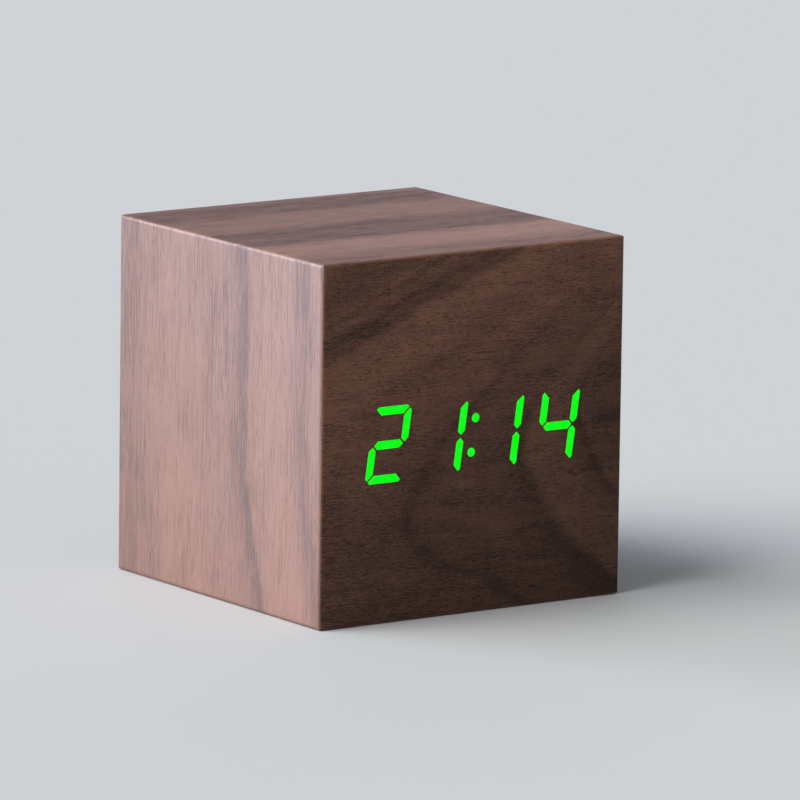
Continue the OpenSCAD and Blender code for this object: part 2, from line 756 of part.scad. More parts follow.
// Hollow in the cover for the door, its knuckle, its pins and the latch's nib
module door_hollow() {
  reach = door_half + door_gap;
  block([-reach, door_in - seat_gap, hinge_z], [reach, cover_out + cut, door_top + door_gap]);
  block([-reach, hinge_y, hinge_z - channel_r], [reach, cover_out + cut, hinge_z + channel_r]);
  bar_x(2 * channel_r, -reach, reach, hinge_y, hinge_z);
  pin_reach = door_half + hinge_pin_len + pin_gap;
  bar_x(hinge_pin_d + 2 * pin_gap, -pin_reach, pin_reach, hinge_y, hinge_z);
  block([-nib_w / 2 - latch_gap, door_in - seat_gap, door_top],
        [nib_w / 2 + latch_gap, door_in + nib_t + seat_gap, nib_top + latch_gap]);
}

// Slot in which the sound switch's lever slides
module lever_slot(y0, y1) {
  reach = (slide_lever[0] + slide_stroke) / 2 + lever_gap;
  rise = slide_lever[1] / 2 + lever_gap;
  translate([lower_x, 0, lower_z])
    block([-reach, y0, -rise], [reach, y1, rise]);
}

module bay_box(y0, y1, wall)
  block([-bay_half - wall, y0, bay_z0 - wall], [bay_half + wall, y1, bay_z1 + wall]);

module back_cover()
  color("dimgray")
    difference() {
      union() {
        block([-cover_half, cover_in, cover_z0], [cover_half, cover_out, cover_z1]);
        bay_box(bay_in - bay_wall, cover_out, bay_wall);
        for (x = [-tongue_x, tongue_x])
          block([x - tongue_w / 2, cover_in, cover_z0 - tongue_reach],
                [x + tongue_w / 2, cover_in + tongue_t, cover_z0 + tongue_reach]);
        for (x = [-main_screw_x, main_screw_x])
          for (z = [-main_screw_dz, main_screw_dz])
            bar_y(boss_d, main_back, cover_in + cut, x, controls_z + z);
      }
      bay_box(bay_in, cover_out + cut, 0);
      door_hollow();
      for (x = [-main_screw_x, main_screw_x])
        for (z = [-main_screw_dz, main_screw_dz])
          bar_y(small_screw_d, main_back - cut, main_back + small_screw_bite, x, controls_z + z);
      for (x = [-block_mid, block_mid]) {
        bar_y(screw_d + 2 * hole_gap, cover_in - cut, cover_out + cut, x, half + block_mid);
        bar_y(screw_head_d + 2 * head_gap, cover_out - screw_head_t, cover_out + cut, x, half + block_mid);
      }
      for (i = [-1:1])
        bar_y(button_d + 2 * button_gap, cover_in - cut, cover_out + cut, i * button_pitch, button_z);
      bar_y(jack_collar_d + 2 * jack_gap, cover_in - cut, cover_out + cut, -lower_x, lower_z);
      bar_y(mic_hole_d, cover_in - cut, cover_out + cut, 0, lower_z);
      lever_slot(cover_in - cut, cover_out + cut);
      translate([red_from[0], red_from[1], bay_z1 - cut])
        cylinder(d = lead_d + 2 * lead_gap, h = bay_wall + 2 * cut);
      bar_x(lead_d + 2 * lead_gap, bay_half - cut, bay_half + bay_wall + cut, black_from[1], black_from[2]);
    }

module cover_screws()
  color("silver")
    for (x = [-block_mid, block_mid])
      translate([x, cover_out - screw_head_t, half + block_mid])
        screw(screw_d, screw_head_d, screw_head_t, cover_t - screw_head_t + cover_screw_bite);

module main_board()
  color("darkgreen")
    difference() {
      translate([0, 0, controls_z])
        block([-main_w / 2, main_in, -main_h / 2], [main_w / 2, main_back, main_h / 2]);
      for (x = [-main_screw_x, main_screw_x])
        for (z = [-main_screw_dz, main_screw_dz])
          bar_y(small_screw_d + 2 * hole_gap, main_in - cut, main_back + cut, x, controls_z + z);
    }

module main_board_screws()
  color("silver")
    for (x = [-main_screw_x, main_screw_x])
      for (z = [-main_screw_dz, main_screw_dz])
        translate([x, main_in, controls_z + z]) rotate([0, 0, 180])
          screw(small_screw_d, small_head_d, small_head_t, pcb_t + small_screw_bite);

// Button i of the row: a shaft with a flange and a bevelled top, marked by the outline that is passed in
module button(i)
  color("black")
    difference() {
      translate([i * button_pitch, 0, button_z]) {
        bar_y(button_d + 2 * button_flange, button_in, button_in + button_flange_t, 0, 0);
        bar_y(button_d, button_in, cover_out + button_proud - button_bevel, 0, 0);
        translate([0, cover_out + button_proud - button_bevel, 0]) rotate([-90, 0, 0])
          cylinder(d1 = button_d, d2 = button_d - 2 * button_bevel, h = button_bevel);
      }
      translate([i * button_pitch, 0, button_z])
        slab(cover_out + button_proud - mark_depth, cover_out + button_proud + cut) children();
    }

module set_button()
  button(1) circle(d = mark_size);

module up_button()
  button(0) polygon([[-mark_size, -mark_size / 2], [mark_size, -mark_size / 2], [0, mark_size]]);

module down_button()
  button(-1) polygon([[-mark_size, mark_size / 2], [mark_size, mark_size / 2], [0, -mark_size]]);

// Plunger and case of the push switch under button i
module plunger(i)
  color("dimgray") bar_y(plunger_d, plunger_in, button_in, i * button_pitch, button_z);

module set_plunger()
  plunger(1);

module up_plunger()
  plunger(0);

module down_plunger()
  plunger(-1);

module push_switch(i)
  color("silver")
    translate([i * button_pitch, main_back, button_z])
      difference() {
        block([-tact_w / 2, 0, -tact_w / 2], [tact_w / 2, tact_case_h, tact_w / 2]);
        bar_y(plunger_d + 2 * button_gap, tact_case_h - plunger_root - press - stop_gap,
              tact_case_h + cut, 0, 0);
      }

module set_switch()
  push_switch(1);

module up_switch()
  push_switch(0);

module down_switch()
  push_switch(-1);

module sound_switch_case()
  color("silver")
    difference() {
      translate([lower_x, main_back, lower_z])
        block([-slide_case[0] / 2, 0, -slide_case[1] / 2],
              [slide_case[0] / 2, slide_case[2], slide_case[1] / 2]);
      lever_slot(main_back + slide_floor, main_back + slide_case[2] + cut);
    }

// Lever at the low end of its stroke, with grip grooves across its tip
module sound_switch_lever()
  color("black")
    translate([lower_x - slide_stroke / 2, 0, lower_z])
      difference() {
        block([-slide_lever[0] / 2, main_back + slide_floor + seat_gap, -slide_lever[1] / 2],
              [slide_lever[0] / 2, cover_out + slide_proud, slide_lever[1] / 2]);
        for (x = [-groove_w, groove_w])
          block([x - groove_w / 2, cover_out + slide_proud - mark_depth, -slide_lever[1]],
                [x + groove_w / 2, cover_out + slide_proud + cut, slide_lever[1]]);
      }

module dc_jack_case()
  color("black")
    translate([-lower_x, 0, lower_z])
      difference() {
        union() {
          block([-jack_w / 2, main_back, -jack_w / 2], [jack_w / 2, cover_in - stop_gap, jack_w / 2]);
          bar_y(jack_collar_d, cover_in - cut, cover_out, 0, 0);
        }
        bar_y(jack_bore_d, jack_floor, cover_out + cut, 0, 0);
        bar_y(jack_root[0], jack_floor - jack_root[1], jack_floor + cut, 0, 0);
      }

module dc_jack_pin()
  color("silver")
    translate([-lower_x, 0, lower_z]) {
      bar_y(jack_pin_d, jack_floor, cover_out - jack_pin_inset, 0, 0);
      bar_y(jack_root[0], jack_floor - jack_root[1], jack_floor + cut, 0, 0);
    }

module microphone()
  color("silver") bar_y(mic_d, main_back, main_back + mic_h, 0, lower_z);

module clock_chip()
  color("dimgray")
    on_inner_face(main_in, clock_chip_at[0], controls_z + clock_chip_at[1]) chip(clock_chip_size);

module crystal()
  color("silver")
    bar_x(crystal_size[0], crystal_at[0], crystal_at[0] + crystal_size[1],
          main_in - crystal_size[0] / 2, controls_z + crystal_at[1]);

module capacitor()
  color("midnightblue")
    on_inner_face(main_in, capacitor_at[0], controls_z + capacitor_at[1])
      cylinder(d = capacitor_size[0], h = capacitor_size[1]);

module buzzer()
  color("black")
    on_inner_face(main_in, buzzer_at[0], controls_z + buzzer_at[1])
      difference() {
        cylinder(d = buzzer_d, h = buzzer_h);
        translate([0, 0, buzzer_h / 2]) cylinder(d = buzzer_hole_d, h = buzzer_h);
      }

// Round cup with a clip across its mouth
module backup_cell_holder()
  color("black")
    on_inner_face(main_in, coin_at[0], controls_z + coin_at[1])
      difference() {
        union() {
          cylinder(d = holder_d, h = holder_wall + coin_t);
          intersection() {
            cylinder(d = holder_d, h = clip_z + clip_t);
            translate([-coin_d, -clip_w / 2, 0]) cube([2 * coin_d, clip_w, clip_z + clip_t]);
          }
        }
        translate([0, 0, holder_wall]) cylinder(d = coin_d + 2 * coin_gap, h = clip_z - holder_wall);
      }

module backup_cell()
  color("silver")
    on_inner_face(main_in - holder_wall, coin_at[0], controls_z + coin_at[1])
      cylinder(d = coin_d, h = coin_t);

module battery_lead_red()
  color("red") tube(wire_rings(red_route, [0, 1, 0], lead_d, lead_sides));

module battery_lead_black()
  color("black") tube(wire_rings(black_route, [0, 1, 0], lead_d, lead_sides));

module aaa_cell(i)
  color("goldenrod")
    translate([cell_way(i) * plate_x, cell_y, cell_z(i)]) rotate([0, -90 * cell_way(i), 0]) {
      cylinder(d = nub_d, h = nub_len + cut);
      translate([0, 0, nub_len]) cylinder(d = cell_d, h = cell_len - nub_len);
    }

module aaa_cell_1()
  aaa_cell(0);

module aaa_cell_2()
  aaa_cell(1);

module aaa_cell_3()
  aaa_cell(2);

// One contact plate on the end wall at side s, behind cells i to j
module contact_plate(s, i, j) {
  x0 = s < 0 ? -bay_half : plate_x;
  block([x0, cell_y - contact_w / 2, cell_z(i) - contact_w / 2],
        [x0 + contact_t, cell_y + contact_w / 2, cell_z(j) + contact_w / 2]);
}

module battery_contacts()
  color("silver") {
    contact_plate(-1, 0, 1);
    contact_plate(-1, 2, 2);
    contact_plate(1, 0, 0);
    contact_plate(1, 1, 2);
  }

// Conical contact spring along +X from its plate: the wire lies flat for a short way at each end
spring_rings = 8;
spring_sides = 6;
spring_flat = 0.2;
spring_count = floor(spring_turns * spring_rings);
function spring_rise(turn) = min(1, max(0, (turn - spring_flat) / (spring_turns - 2 * spring_flat)));
function spring_point(i) =
  let (turn = spring_turns * i / spring_count,
       r = (spring_d + (spring_tip_d - spring_d) * turn / spring_turns - spring_wire) / 2)
  [spring_wire / 2 + (spring_len - spring_wire) * spring_rise(turn),
   r * cos(360 * turn),
   r * sin(360 * turn)];
function spring_ring(i) =
  let (p = spring_point(i), out = unit([0, p[1], p[2]]))
  [for (j = [0:spring_sides - 1])
    let (angle = 360 * (j + 0.5) / spring_sides)
    p + spring_wire / 2 * (cos(angle) * out + sin(angle) * [1, 0, 0])];
spring_gap = min([for (i = [0:spring_count - spring_rings / 2]) for (j = [i + spring_rings / 2:spring_count])
  norm(spring_point(i) - spring_point(j))]) - spring_wire;
echo(least_gap_between_spring_turns = spring_gap);

module battery_springs()
  color("silver")
    for (i = [0:cell_count - 1])
      translate([-cell_way(i) * plate_x, cell_y, cell_z(i)]) rotate([0, 0, cell_way(i) > 0 ? 0 : 180])
        tube([for (j = [0:spring_count]) spring_ring(j)]);

module battery_door()
  color("dimgray")
    difference() {
      union() {
        block([-door_half, door_in, hinge_z], [door_half, cover_out, door_top]);
        bar_x(knuckle_d, -door_half, door_half, hinge_y, hinge_z);
        bar_x(hinge_pin_d, -door_half - hinge_pin_len, door_half + hinge_pin_len, hinge_y, hinge_z);
      }
      block([-latch_w / 2, door_in - cut, latch_z], [latch_w / 2, cover_out + cut, door_top + cut]);
    }

// Springy tongue on two legs, with a nib along its top and grip ribs on its pad
grip_count = 3;
grip_size = 0.4;

module battery_door_latch()
  color("black") {
    pad_x = latch_w / 2 - latch_gap;
    block([-pad_x, door_in, pad_z], [pad_x, cover_out, door_top]);
    block([-nib_w / 2, door_in, pad_z], [nib_w / 2, door_in + nib_t, nib_top]);
    for (s = [-1, 1])
      translate([s * (pad_x - latch_leg_w / 2), 0, 0])
        block([-latch_leg_w / 2, door_in, latch_z], [latch_leg_w / 2, door_in + latch_leg_t, door_top]);
    for (i = [0:grip_count - 1])
      translate([0, cover_out, pad_z + latch_pad_h * (i + 0.5) / grip_count])
        block([-nib_w / 2, -grip_size, -grip_size / 2], [nib_w / 2, grip_size, grip_size / 2]);
  }

front_veneer();
top_veneer();
bottom_veneer();
left_veneer();
right_veneer();
back_edging();
front_board();
top_board();
bottom_board();
left_board();
right_board();
cover_blocks();
lit_lenses();
dark_lenses();
segment_mask();
display_reflector();
led_chips();
display_board();
display_spacers();
display_screws();
display_driver_chip();
segment_resistors();
display_ribbon();
back_cover();
cover_screws();
main_board();
main_board_screws();
set_button();
up_button();
down_button();
set_plunger();
up_plunger();
down_plunger();
set_switch();
up_switch();
down_switch();
sound_switch_case();
sound_switch_lever();
dc_jack_case();
dc_jack_pin();
microphone();
clock_chip();
crystal();
capacitor();
buzzer();
backup_cell_holder();
backup_cell();
battery_lead_red();
battery_lead_black();
battery_contacts();
battery_springs();
aaa_cell_1();
aaa_cell_2();
aaa_cell_3();
battery_door();
battery_door_latch();
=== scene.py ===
# %% [markdown]
# # A walnut cube clock with green numerals
# The clock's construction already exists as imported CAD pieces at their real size. This lesson dresses it:
# each cell adds one finish or one small piece, says what it is on the real clock, and why it is made this
# way. Every Blender object shares the CAD frame, so +Z is up, the front faces -Y and lengths are metres.
# Sizes are written here in millimetres, and MM turns them into metres.

# %% Load the construction
import math

import bpy
from mathutils import Matrix, Vector
from mathutils.geometry import interpolate_bezier


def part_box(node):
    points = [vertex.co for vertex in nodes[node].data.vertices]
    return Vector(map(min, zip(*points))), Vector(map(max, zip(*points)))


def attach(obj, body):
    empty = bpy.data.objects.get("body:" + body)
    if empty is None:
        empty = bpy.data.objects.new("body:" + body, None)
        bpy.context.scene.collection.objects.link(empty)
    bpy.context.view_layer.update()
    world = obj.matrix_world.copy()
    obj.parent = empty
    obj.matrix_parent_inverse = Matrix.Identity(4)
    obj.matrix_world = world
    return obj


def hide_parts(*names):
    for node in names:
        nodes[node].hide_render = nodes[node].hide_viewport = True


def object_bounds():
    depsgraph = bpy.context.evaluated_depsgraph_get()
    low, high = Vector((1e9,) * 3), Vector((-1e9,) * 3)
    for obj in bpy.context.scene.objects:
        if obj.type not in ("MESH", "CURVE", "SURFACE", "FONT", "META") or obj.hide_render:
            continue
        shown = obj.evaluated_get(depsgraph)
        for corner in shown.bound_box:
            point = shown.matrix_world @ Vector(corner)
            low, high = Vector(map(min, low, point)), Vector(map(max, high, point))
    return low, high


MM = 0.001
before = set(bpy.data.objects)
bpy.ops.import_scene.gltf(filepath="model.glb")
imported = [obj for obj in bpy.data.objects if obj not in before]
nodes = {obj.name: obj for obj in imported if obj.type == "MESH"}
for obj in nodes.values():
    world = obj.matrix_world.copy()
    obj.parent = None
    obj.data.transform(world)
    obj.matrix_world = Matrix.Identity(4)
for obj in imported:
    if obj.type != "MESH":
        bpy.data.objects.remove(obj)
cad_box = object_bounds()
bpy.ops.object.select_all(action="DESELECT")
side = (cad_box[1].z - cad_box[0].z) / MM
print("Loaded", len(nodes), "nodes of a cube", round(side, 2), "mm on each side")

# %% [markdown]
# ## Camera
# The photograph's perspective was solved from the cube's seven visible corners: a long lens far away, a
# little above the cube and to its left.

# %% Camera
VIEW_AZIMUTH = math.radians(-34.876)
VIEW_ELEVATION = math.radians(10.236)
VIEW_ROLL = math.radians(0.778)
VIEW_DISTANCE = 1640.9 * MM
VIEW_LENS = 393.5
VIEW_ASIDE = 5.813 * MM
VIEW_ABOVE = 0.718 * MM

bpy.ops.object.camera_add()
camera = bpy.context.object
camera.name = "camera"
camera.data.lens = VIEW_LENS
turn = Matrix.Rotation(VIEW_AZIMUTH, 4, "Z") @ Matrix.Rotation(math.pi / 2 - VIEW_ELEVATION, 4, "X")
place = Vector((0.0, 0.0, side / 2 * MM)) + turn @ Vector((VIEW_ASIDE, VIEW_ABOVE, VIEW_DISTANCE))
camera.matrix_world = Matrix.Translation(place) @ turn @ Matrix.Rotation(VIEW_ROLL, 4, "Z")
bpy.context.scene.camera = camera
print("Camera at", [round(part, 3) for part in place])

# %% [markdown]
# ## Floor
# The clock stands on a plain, pale, matt floor that fills the view, a hair below it so that the two faces
# don't flicker. What is the same all over a surface is set on the shader itself, because an export keeps
# such values best. The finish being made stays in hand for the helpers below.

# %% Floor
FLOOR_SPAN = 8.0
FLOOR_DROP = 0.05
hand = {}


def new_finish(name, constants):
    """Starts a finish, takes it in hand and sets its constants."""
    finish = bpy.data.materials.new(name)
    finish.use_nodes = True
    hand["tree"] = finish.node_tree
    hand["shader"] = finish.node_tree.nodes["Principled BSDF"]
    for socket, value in constants.items():
        hand["shader"].inputs[socket].default_value = value
    return finish


bpy.ops.mesh.primitive_plane_add(size=FLOOR_SPAN, location=(0.0, 0.0, -FLOOR_DROP * MM))
floor = bpy.context.object
floor.name = "floor"
floor.data.materials.append(new_finish("floor_matt", {
    "Base Color": (0.62, 0.63, 0.64, 1.0), "Roughness": 0.8, "Specular IOR Level": 0.2,
}))
print("Floor", FLOOR_SPAN, "m wide")

# %% [markdown]
# ## Light
# Wide suns act as soft boxes: a key from the left and above, a low cool one behind the left side, whose
# mirror image gives the lacquer there its pale sheen, and a weak one for the sheen of the top. The front
# stays in open shade, lit by floor and sky. A sun is the way towards it, a level, a spread in degrees and a
# tone.

# %% Light
SKY_TONE = (0.88, 0.94, 1.0, 1.0)
SKY_STRENGTH = 0.24
SUNS = [
    ("key_sun", (-0.70, 0.10, 0.70), 0.90, 50.0, (1.0, 0.98, 0.95)),
    ("sheen_sun", (-0.56, 0.81, 0.12), 1.20, 40.0, (0.78, 0.87, 1.0)),
    ("back_sun", (0.52, 0.83, 0.20), 0.12, 50.0, (0.78, 0.88, 1.0)),
]

for name, toward, level, spread, tone in SUNS:
    bpy.ops.object.light_add(type="SUN")
    sun = bpy.context.object
    sun.name = name
    sun.rotation_euler = Vector(toward).to_track_quat("Z", "Y").to_euler()
    sun.data.energy = level * math.pi
    sun.data.angle = math.radians(spread)
    sun.data.color = tone
world = bpy.data.worlds.new("studio_sky")
world.use_nodes = True
sky = world.node_tree.nodes["Background"]
sky.inputs["Color"].default_value = SKY_TONE
sky.inputs["Strength"].default_value = SKY_STRENGTH
bpy.context.scene.world = world
bpy.context.scene.view_settings.view_transform = "Standard"
print("Lit by", len(SUNS), "suns and a pale sky")

# %% [markdown]
# ## Fields
# What varies over a surface is worked out by shader nodes. Writing out each node and link takes many lines,
# so a field stands for a node's output, and a sum of fields adds the nodes for it.


# %% Fields
class Field:
    """A number or colour that varies over a surface. Sums add nodes to the finish in hand."""

    def __init__(self, socket):
        self.socket = socket

    def __add__(self, other):
        return calc("ADD", self, other)

    def __sub__(self, other):
        return calc("SUBTRACT", self, other)

    def __rsub__(self, other):
        return calc("SUBTRACT", other, self)

    def __mul__(self, other):
        return calc("MULTIPLY", self, other)

    def __truediv__(self, other):
        return calc("DIVIDE", self, other)

    def __abs__(self):
        return calc("ABSOLUTE", self)

    __radd__ = __add__


def shader_node(kind, inputs=None, **settings):
    """Adds a node to the finish in hand. An input takes a plain value or a field."""
    made = hand["tree"].nodes.new("ShaderNode" + kind)
    for setting, value in settings.items():
        setattr(made, setting, value)
    for socket, value in (inputs or {}).items():
        if isinstance(value, Field):
            hand["tree"].links.new(value.socket, made.inputs[socket])
        else:
            made.inputs[socket].default_value = value
    return made


def field(kind, output, inputs=None, **settings):
    """One output of a new node."""
    return Field(shader_node(kind, inputs, **settings).outputs[output])


def calc(operation, first, second=0.0):
    """One sum on fields or plain numbers."""
    return field("Math", 0, {0: first, 1: second}, operation=operation)


def rescale(value, low, high, to_low=0.0, to_high=1.0):
    """Carries one span over to another, and stops at its ends."""
    spans = {"Value": value, "From Min": low, "From Max": high, "To Min": to_low, "To Max": to_high}
    return field("MapRange", "Result", spans)


print("Fields ready")

# %% [markdown]
# ## Places and noise
# Patterns are placed in millimetres on the piece itself, so a pore is as long as a real one. Noise runs
# from 0 to 1 and is stretched along the grain by dividing the place by the length and width of a patch.


# %% Places and noise
def millimetres():
    """The place on the piece as X, Y and Z fields."""
    place = field("TexCoord", "Object")
    grown = field("VectorMath", "Vector", {0: place, "Scale": 1 / MM}, operation="SCALE")
    split = shader_node("SeparateXYZ", {"Vector": grown})
    return {axis: Field(split.outputs[axis]) for axis in "XYZ"}


def streaks(along, across, length, width, seed, detail=1.0):
    """Noise in patches of about a length and a width."""
    place = field("CombineXYZ", "Vector", {"X": along / length, "Y": across / width, "Z": seed})
    return field("TexNoise", "Fac", {"Vector": place, "Scale": 1.0, "Detail": detail})


def speckle(size, seed, detail=2.0):
    """Noise in grains of about a size, alike in every direction."""
    place = field("TexCoord", "Object")
    inputs = {"Vector": place, "W": seed, "Scale": 1 / (size * MM), "Detail": detail}
    return field("TexNoise", "Fac", inputs, noise_dimensions="4D")


def sway(along, across, reach, *patch, detail=1.0):
    """A shift of up to about reach either way, in patches."""
    return (streaks(along, across, *patch, detail=detail) - 0.5) * (2.0 * reach)


print("Places and noise ready")

# %% [markdown]
# ## Colours, and giving a finish
# A ramp turns a number into a colour, and a mix blends two colours. A relief gives small forms such as
# pores a height without adding any faces. Noise seldom leaves the middle of its range, so tones and gloss
# are spread over that span.

# %% Colours, and giving a finish
NOISE_SPAN = (0.3, 0.7)


def ramp(value, stops):
    """Colours or grey tones at places along a number."""
    made = shader_node("ValToRGB", {"Fac": value})
    elements = made.color_ramp.elements
    for place, _ in stops[1:-1]:
        elements.new(place)
    elements[-1].position = stops[-1][0]
    elements[0].position = stops[0][0]
    for element, (_, tone) in zip(elements, stops):
        element.color = (*tone, 1.0) if isinstance(tone, tuple) else (tone, tone, tone, 1.0)
    return Field(made.outputs["Color"])


def between(noise, deep, pale):
    """A colour from deep to pale over the span of noise."""
    return ramp(noise, list(zip(NOISE_SPAN, (deep, pale))))


def mix(share, first, second, how="MIX"):
    """Blends two colours by a share from 0 to 1. A Mix node has its colours at sockets 6, 7 and 2."""
    first, second = (tone if isinstance(tone, Field) else (*tone, 1.0) for tone in (first, second))
    return field("Mix", 2, {0: share, 6: first, 7: second}, data_type="RGBA", blend_type=how)


def give(socket, value):
    """Feeds a field to the shader of the finish in hand."""
    hand["tree"].links.new(value.socket, hand["shader"].inputs[socket])


def rough_by(noise, low, high):
    """Roughness from low to high over the span of noise."""
    give("Roughness", rescale(noise, *NOISE_SPAN, low, high))


def relief(height, depth):
    """Bump of a depth in millimetres."""
    give("Normal", field("Bump", "Normal", {"Height": height, "Distance": depth * MM, "Strength": 1.0}))


def dress(finish, *names):
    """Gives a finish to CAD nodes."""
    for name in names:
        slots = nodes[name].material_slots
        for slot in slots:
            slot.material = finish
        if not slots:
            nodes[name].data.materials.append(finish)


print("Finishes can be given")

# %% [markdown]
# ## Pores, worn edges and a painted highlight
# Walnut is marked by dark pores along the grain: dashes of noise above a limit, which falls where the
# leaf's figure says that pores crowd. A kind of pore is a length, a width and a bias that makes it common
# or rare. Handling has worn the edges of the case to a thin line, more orange. Along the upper rim that
# line is made paler, a painted highlight. A place is near an edge where the second largest of its three
# distances from the middle is almost half a side.

# %% Pores, worn edges and a painted highlight
SPARSE_LIMIT = 0.68
CROWDED_LIMIT = 0.52
PORE_EDGE = 0.08
PORE_SEED = 7.9
PORE_SEED_STEP = 3.3
WORN_WIDTH = 0.6
WORN_WHOLLY = 0.1
WORN_TONE = (0.36, 0.175, 0.095)
WORN_PATCHES = (2.5, 1.0, 51.0)
WORN_UNEVENLY = (0.35, 0.65, 0.3, 1.0)
# The paler tone, and its reach below the top, are a painted highlight along the upper rim of the worn edges.
RIM_HIGHLIGHT_TONE = (0.56, 0.46, 0.46)
RIM_HIGHLIGHT_REACH = 1.2


def pore_field(along, across, kinds, crowd):
    """Dashes of several kinds along the grain, 1 inside and 0 outside."""
    pores = 0.0
    for number, (length, width, bias) in enumerate(kinds):
        limit = rescale(crowd + bias, 0.0, 1.0, SPARSE_LIMIT, CROWDED_LIMIT)
        noise = streaks(along, across, length, width, PORE_SEED + PORE_SEED_STEP * number)
        pores = calc("MAXIMUM", pores, rescale(noise - limit, 0.0, PORE_EDGE))
    return pores


def worn_edges(place):
    """Grows from 0 to 1 towards an edge of the case, in uneven stretches."""
    half = side / 2
    wide, deep, high = abs(place["X"]), abs(place["Y"]), abs(place["Z"] - half)
    larger, smaller = calc("MAXIMUM", wide, deep), calc("MINIMUM", wide, deep)
    second = calc("MAXIMUM", smaller, calc("MINIMUM", larger, high))
    patches = streaks(place["X"] + place["Y"] + place["Z"], 0.0, *WORN_PATCHES, detail=3.0)
    return rescale(second, half - WORN_WIDTH, half - WORN_WHOLLY) * rescale(patches, *WORN_UNEVENLY)


def wear_and_highlight_tone(place, highlight_share):
    """The tone of a worn edge, with a painted highlight by a share along the upper rim."""
    rim = rescale(place["Z"], side - RIM_HIGHLIGHT_REACH, side - WORN_WIDTH, 0.0, highlight_share)
    return mix(rim, WORN_TONE, RIM_HIGHLIGHT_TONE)


print("Pores and worn edges ready")

# %% [markdown]
# ## Walnut
# The case is fibreboard faced with thin walnut. One recipe lays clouds, fibres and pores over the tone that
# a face's own figure gives, because each face was cut from another part of the log. Noise is given as the
# length and width of its patches in millimetres and a seed, and a sway has its reach before them.

# %% Walnut
WAVE = (0.9, 30.0, 9.0, 1.7)
FIBRES = (12.0, 0.24, 3.1)
CLOUDS = (7.0, 1.9, 5.3)
HAIRS = (1.6, 0.16, 4.4)
CROWDS = (0.7, 14.0, 4.0, 9.2)
TONE_SPAN = 0.44
TONE_STOPS = (0.0, 0.5, 1.0)
WORN_SHARE = 0.6
WORN_SMOOTHING = 0.28
ROUGH_SPAN = (0.2, 1.4)
ROUGHENING = 0.2
FIBRE_HEIGHT = 0.35
PORE_DEPTH = 0.03


def walnut(name, axes, figure, tones, pore_kinds, pore_tint, gloss, washes=(), highlight_share=0.0):
    """A leaf with its grain along the first of two axes, or as a function of the place says.

    Figure gives its tone, dark at 0 and light at 1, and where pores crowd. A wash is a tint that grows along
    an axis between two places; on the sides it is painted sheen. The highlight share says how strongly a
    painted highlight pales the worn upper rim.
    """
    specular, roughness = gloss
    finish = new_finish(name, {"IOR": 1.5, "Specular IOR Level": specular})
    place = millimetres()
    along, across = axes(place) if callable(axes) else (place[axes[0]], place[axes[1]])
    across = across + sway(along, across, *WAVE)
    fibres = streaks(along, across, *FIBRES)
    clouds = streaks(along, across, *CLOUDS, detail=3.0)
    hairs = streaks(along, across, *HAIRS, detail=2.0)
    tone, crowd = figure(along, across)
    for noise in (fibres, clouds, hairs):
        tone = tone + (noise - 0.5) * TONE_SPAN
    crowd = crowd + sway(along, across, *CROWDS)
    pores = pore_field(along, across, pore_kinds, crowd)
    leaf = mix(pores, ramp(tone, list(zip(TONE_STOPS, tones))), pore_tint, how="MULTIPLY")
    for axis, start, stop, tint in washes:
        leaf = mix(rescale(place[axis], start, stop), leaf, tint, how="MULTIPLY")
    worn = worn_edges(place)
    # The worn edges are real wear; their paler upper rim is a painted highlight.
    give("Base Color", mix(worn * WORN_SHARE, leaf, wear_and_highlight_tone(place, highlight_share)))
    rough = rescale(pores + fibres, *ROUGH_SPAN, roughness, roughness + ROUGHENING)
    give("Roughness", rough - worn * WORN_SMOOTHING)
    relief(fibres * FIBRE_HEIGHT - pores, PORE_DEPTH)
    return finish


print("Walnut recipe ready")

# %% [markdown]
# ### Front leaf
# The front is flat-sawn: its rings lie nested like the ends of parabolas whose tips point to the lower
# left. A ring number comes from the distance along and across the line of the tips. Above that line the
# rings soon run straight and grow faint, and below it they open wide. Pores crowd in dark wood, most of all
# at the lower left. Unlit segments take the same finish, because they can't be told from the wood. A span
# is two places in millimetres and what they become.

# %% Front leaf
RING_TIP = (10.0, 27.0)
RING_SLOPE = math.radians(23.0)
RING_START = 20.0
RING_SPREAD = 56.0
RAGGED_RINGS = (1.8, 3.0, 0.3, 21.0)
BENT_RINGS = (2.0, 15.0, 9.0, 23.0)
LINE_BLUR = 0.5
OPENING = (-35.0, 0.0, 0.8, 0.115)
STRAIGHTENING = (20.0, 36.0, 10.5, 0.8)
FAINT_UNDER = (-3.0, -9.0)
FAINT_OVER = (-34.0, -28.0)
FAINT_ALONG = (-4.0, 12.0, 0.0, 0.6)
CROWD_BY_TONE = (0.0, 0.8, 0.75, 0.35)
FOOT_ALONG = (-30.0, 5.0, 1.0, 0.0)
FOOT_UP = (8.0, 30.0, 1.0, 0.0)
FOOT_CROWD = 0.7
# Painted shade: the right of the front below its top is darkened, and the whole front runs from darker at
# the foot to lighter at the top.
SHADE_ALONG = (8.0, 28.0, 0.0, 0.16)
SHADE_UP = (58.0, 44.0)
PAINTED_SHADE_FOOT_TO_TOP = (0.0, side, -0.12, 0.16)
FRONT_RINGS = [
    (0.0, 0.34), (6.2, 0.42), (6.9, 0.16), (8.2, 0.40), (10.2, 0.58), (13.4, 0.58), (14.2, 0.16),
    (15.8, 0.31), (18.8, 0.40), (21.2, 0.36), (22.0, 0.19), (22.8, 0.44), (26.5, 0.54), (30.0, 0.52),
    (33.0, 0.66), (36.6, 0.64), (38.2, 0.24), (39.2, 0.36), (40.2, 0.16), (41.2, 0.38), (43.0, 0.48),
    (44.0, 0.28), (45.0, 0.46), (48.0, 0.30), (54.0, 0.44),
]
FRONT_TONES = [(0.068, 0.034, 0.023), (0.154, 0.074, 0.048), (0.296, 0.138, 0.084)]
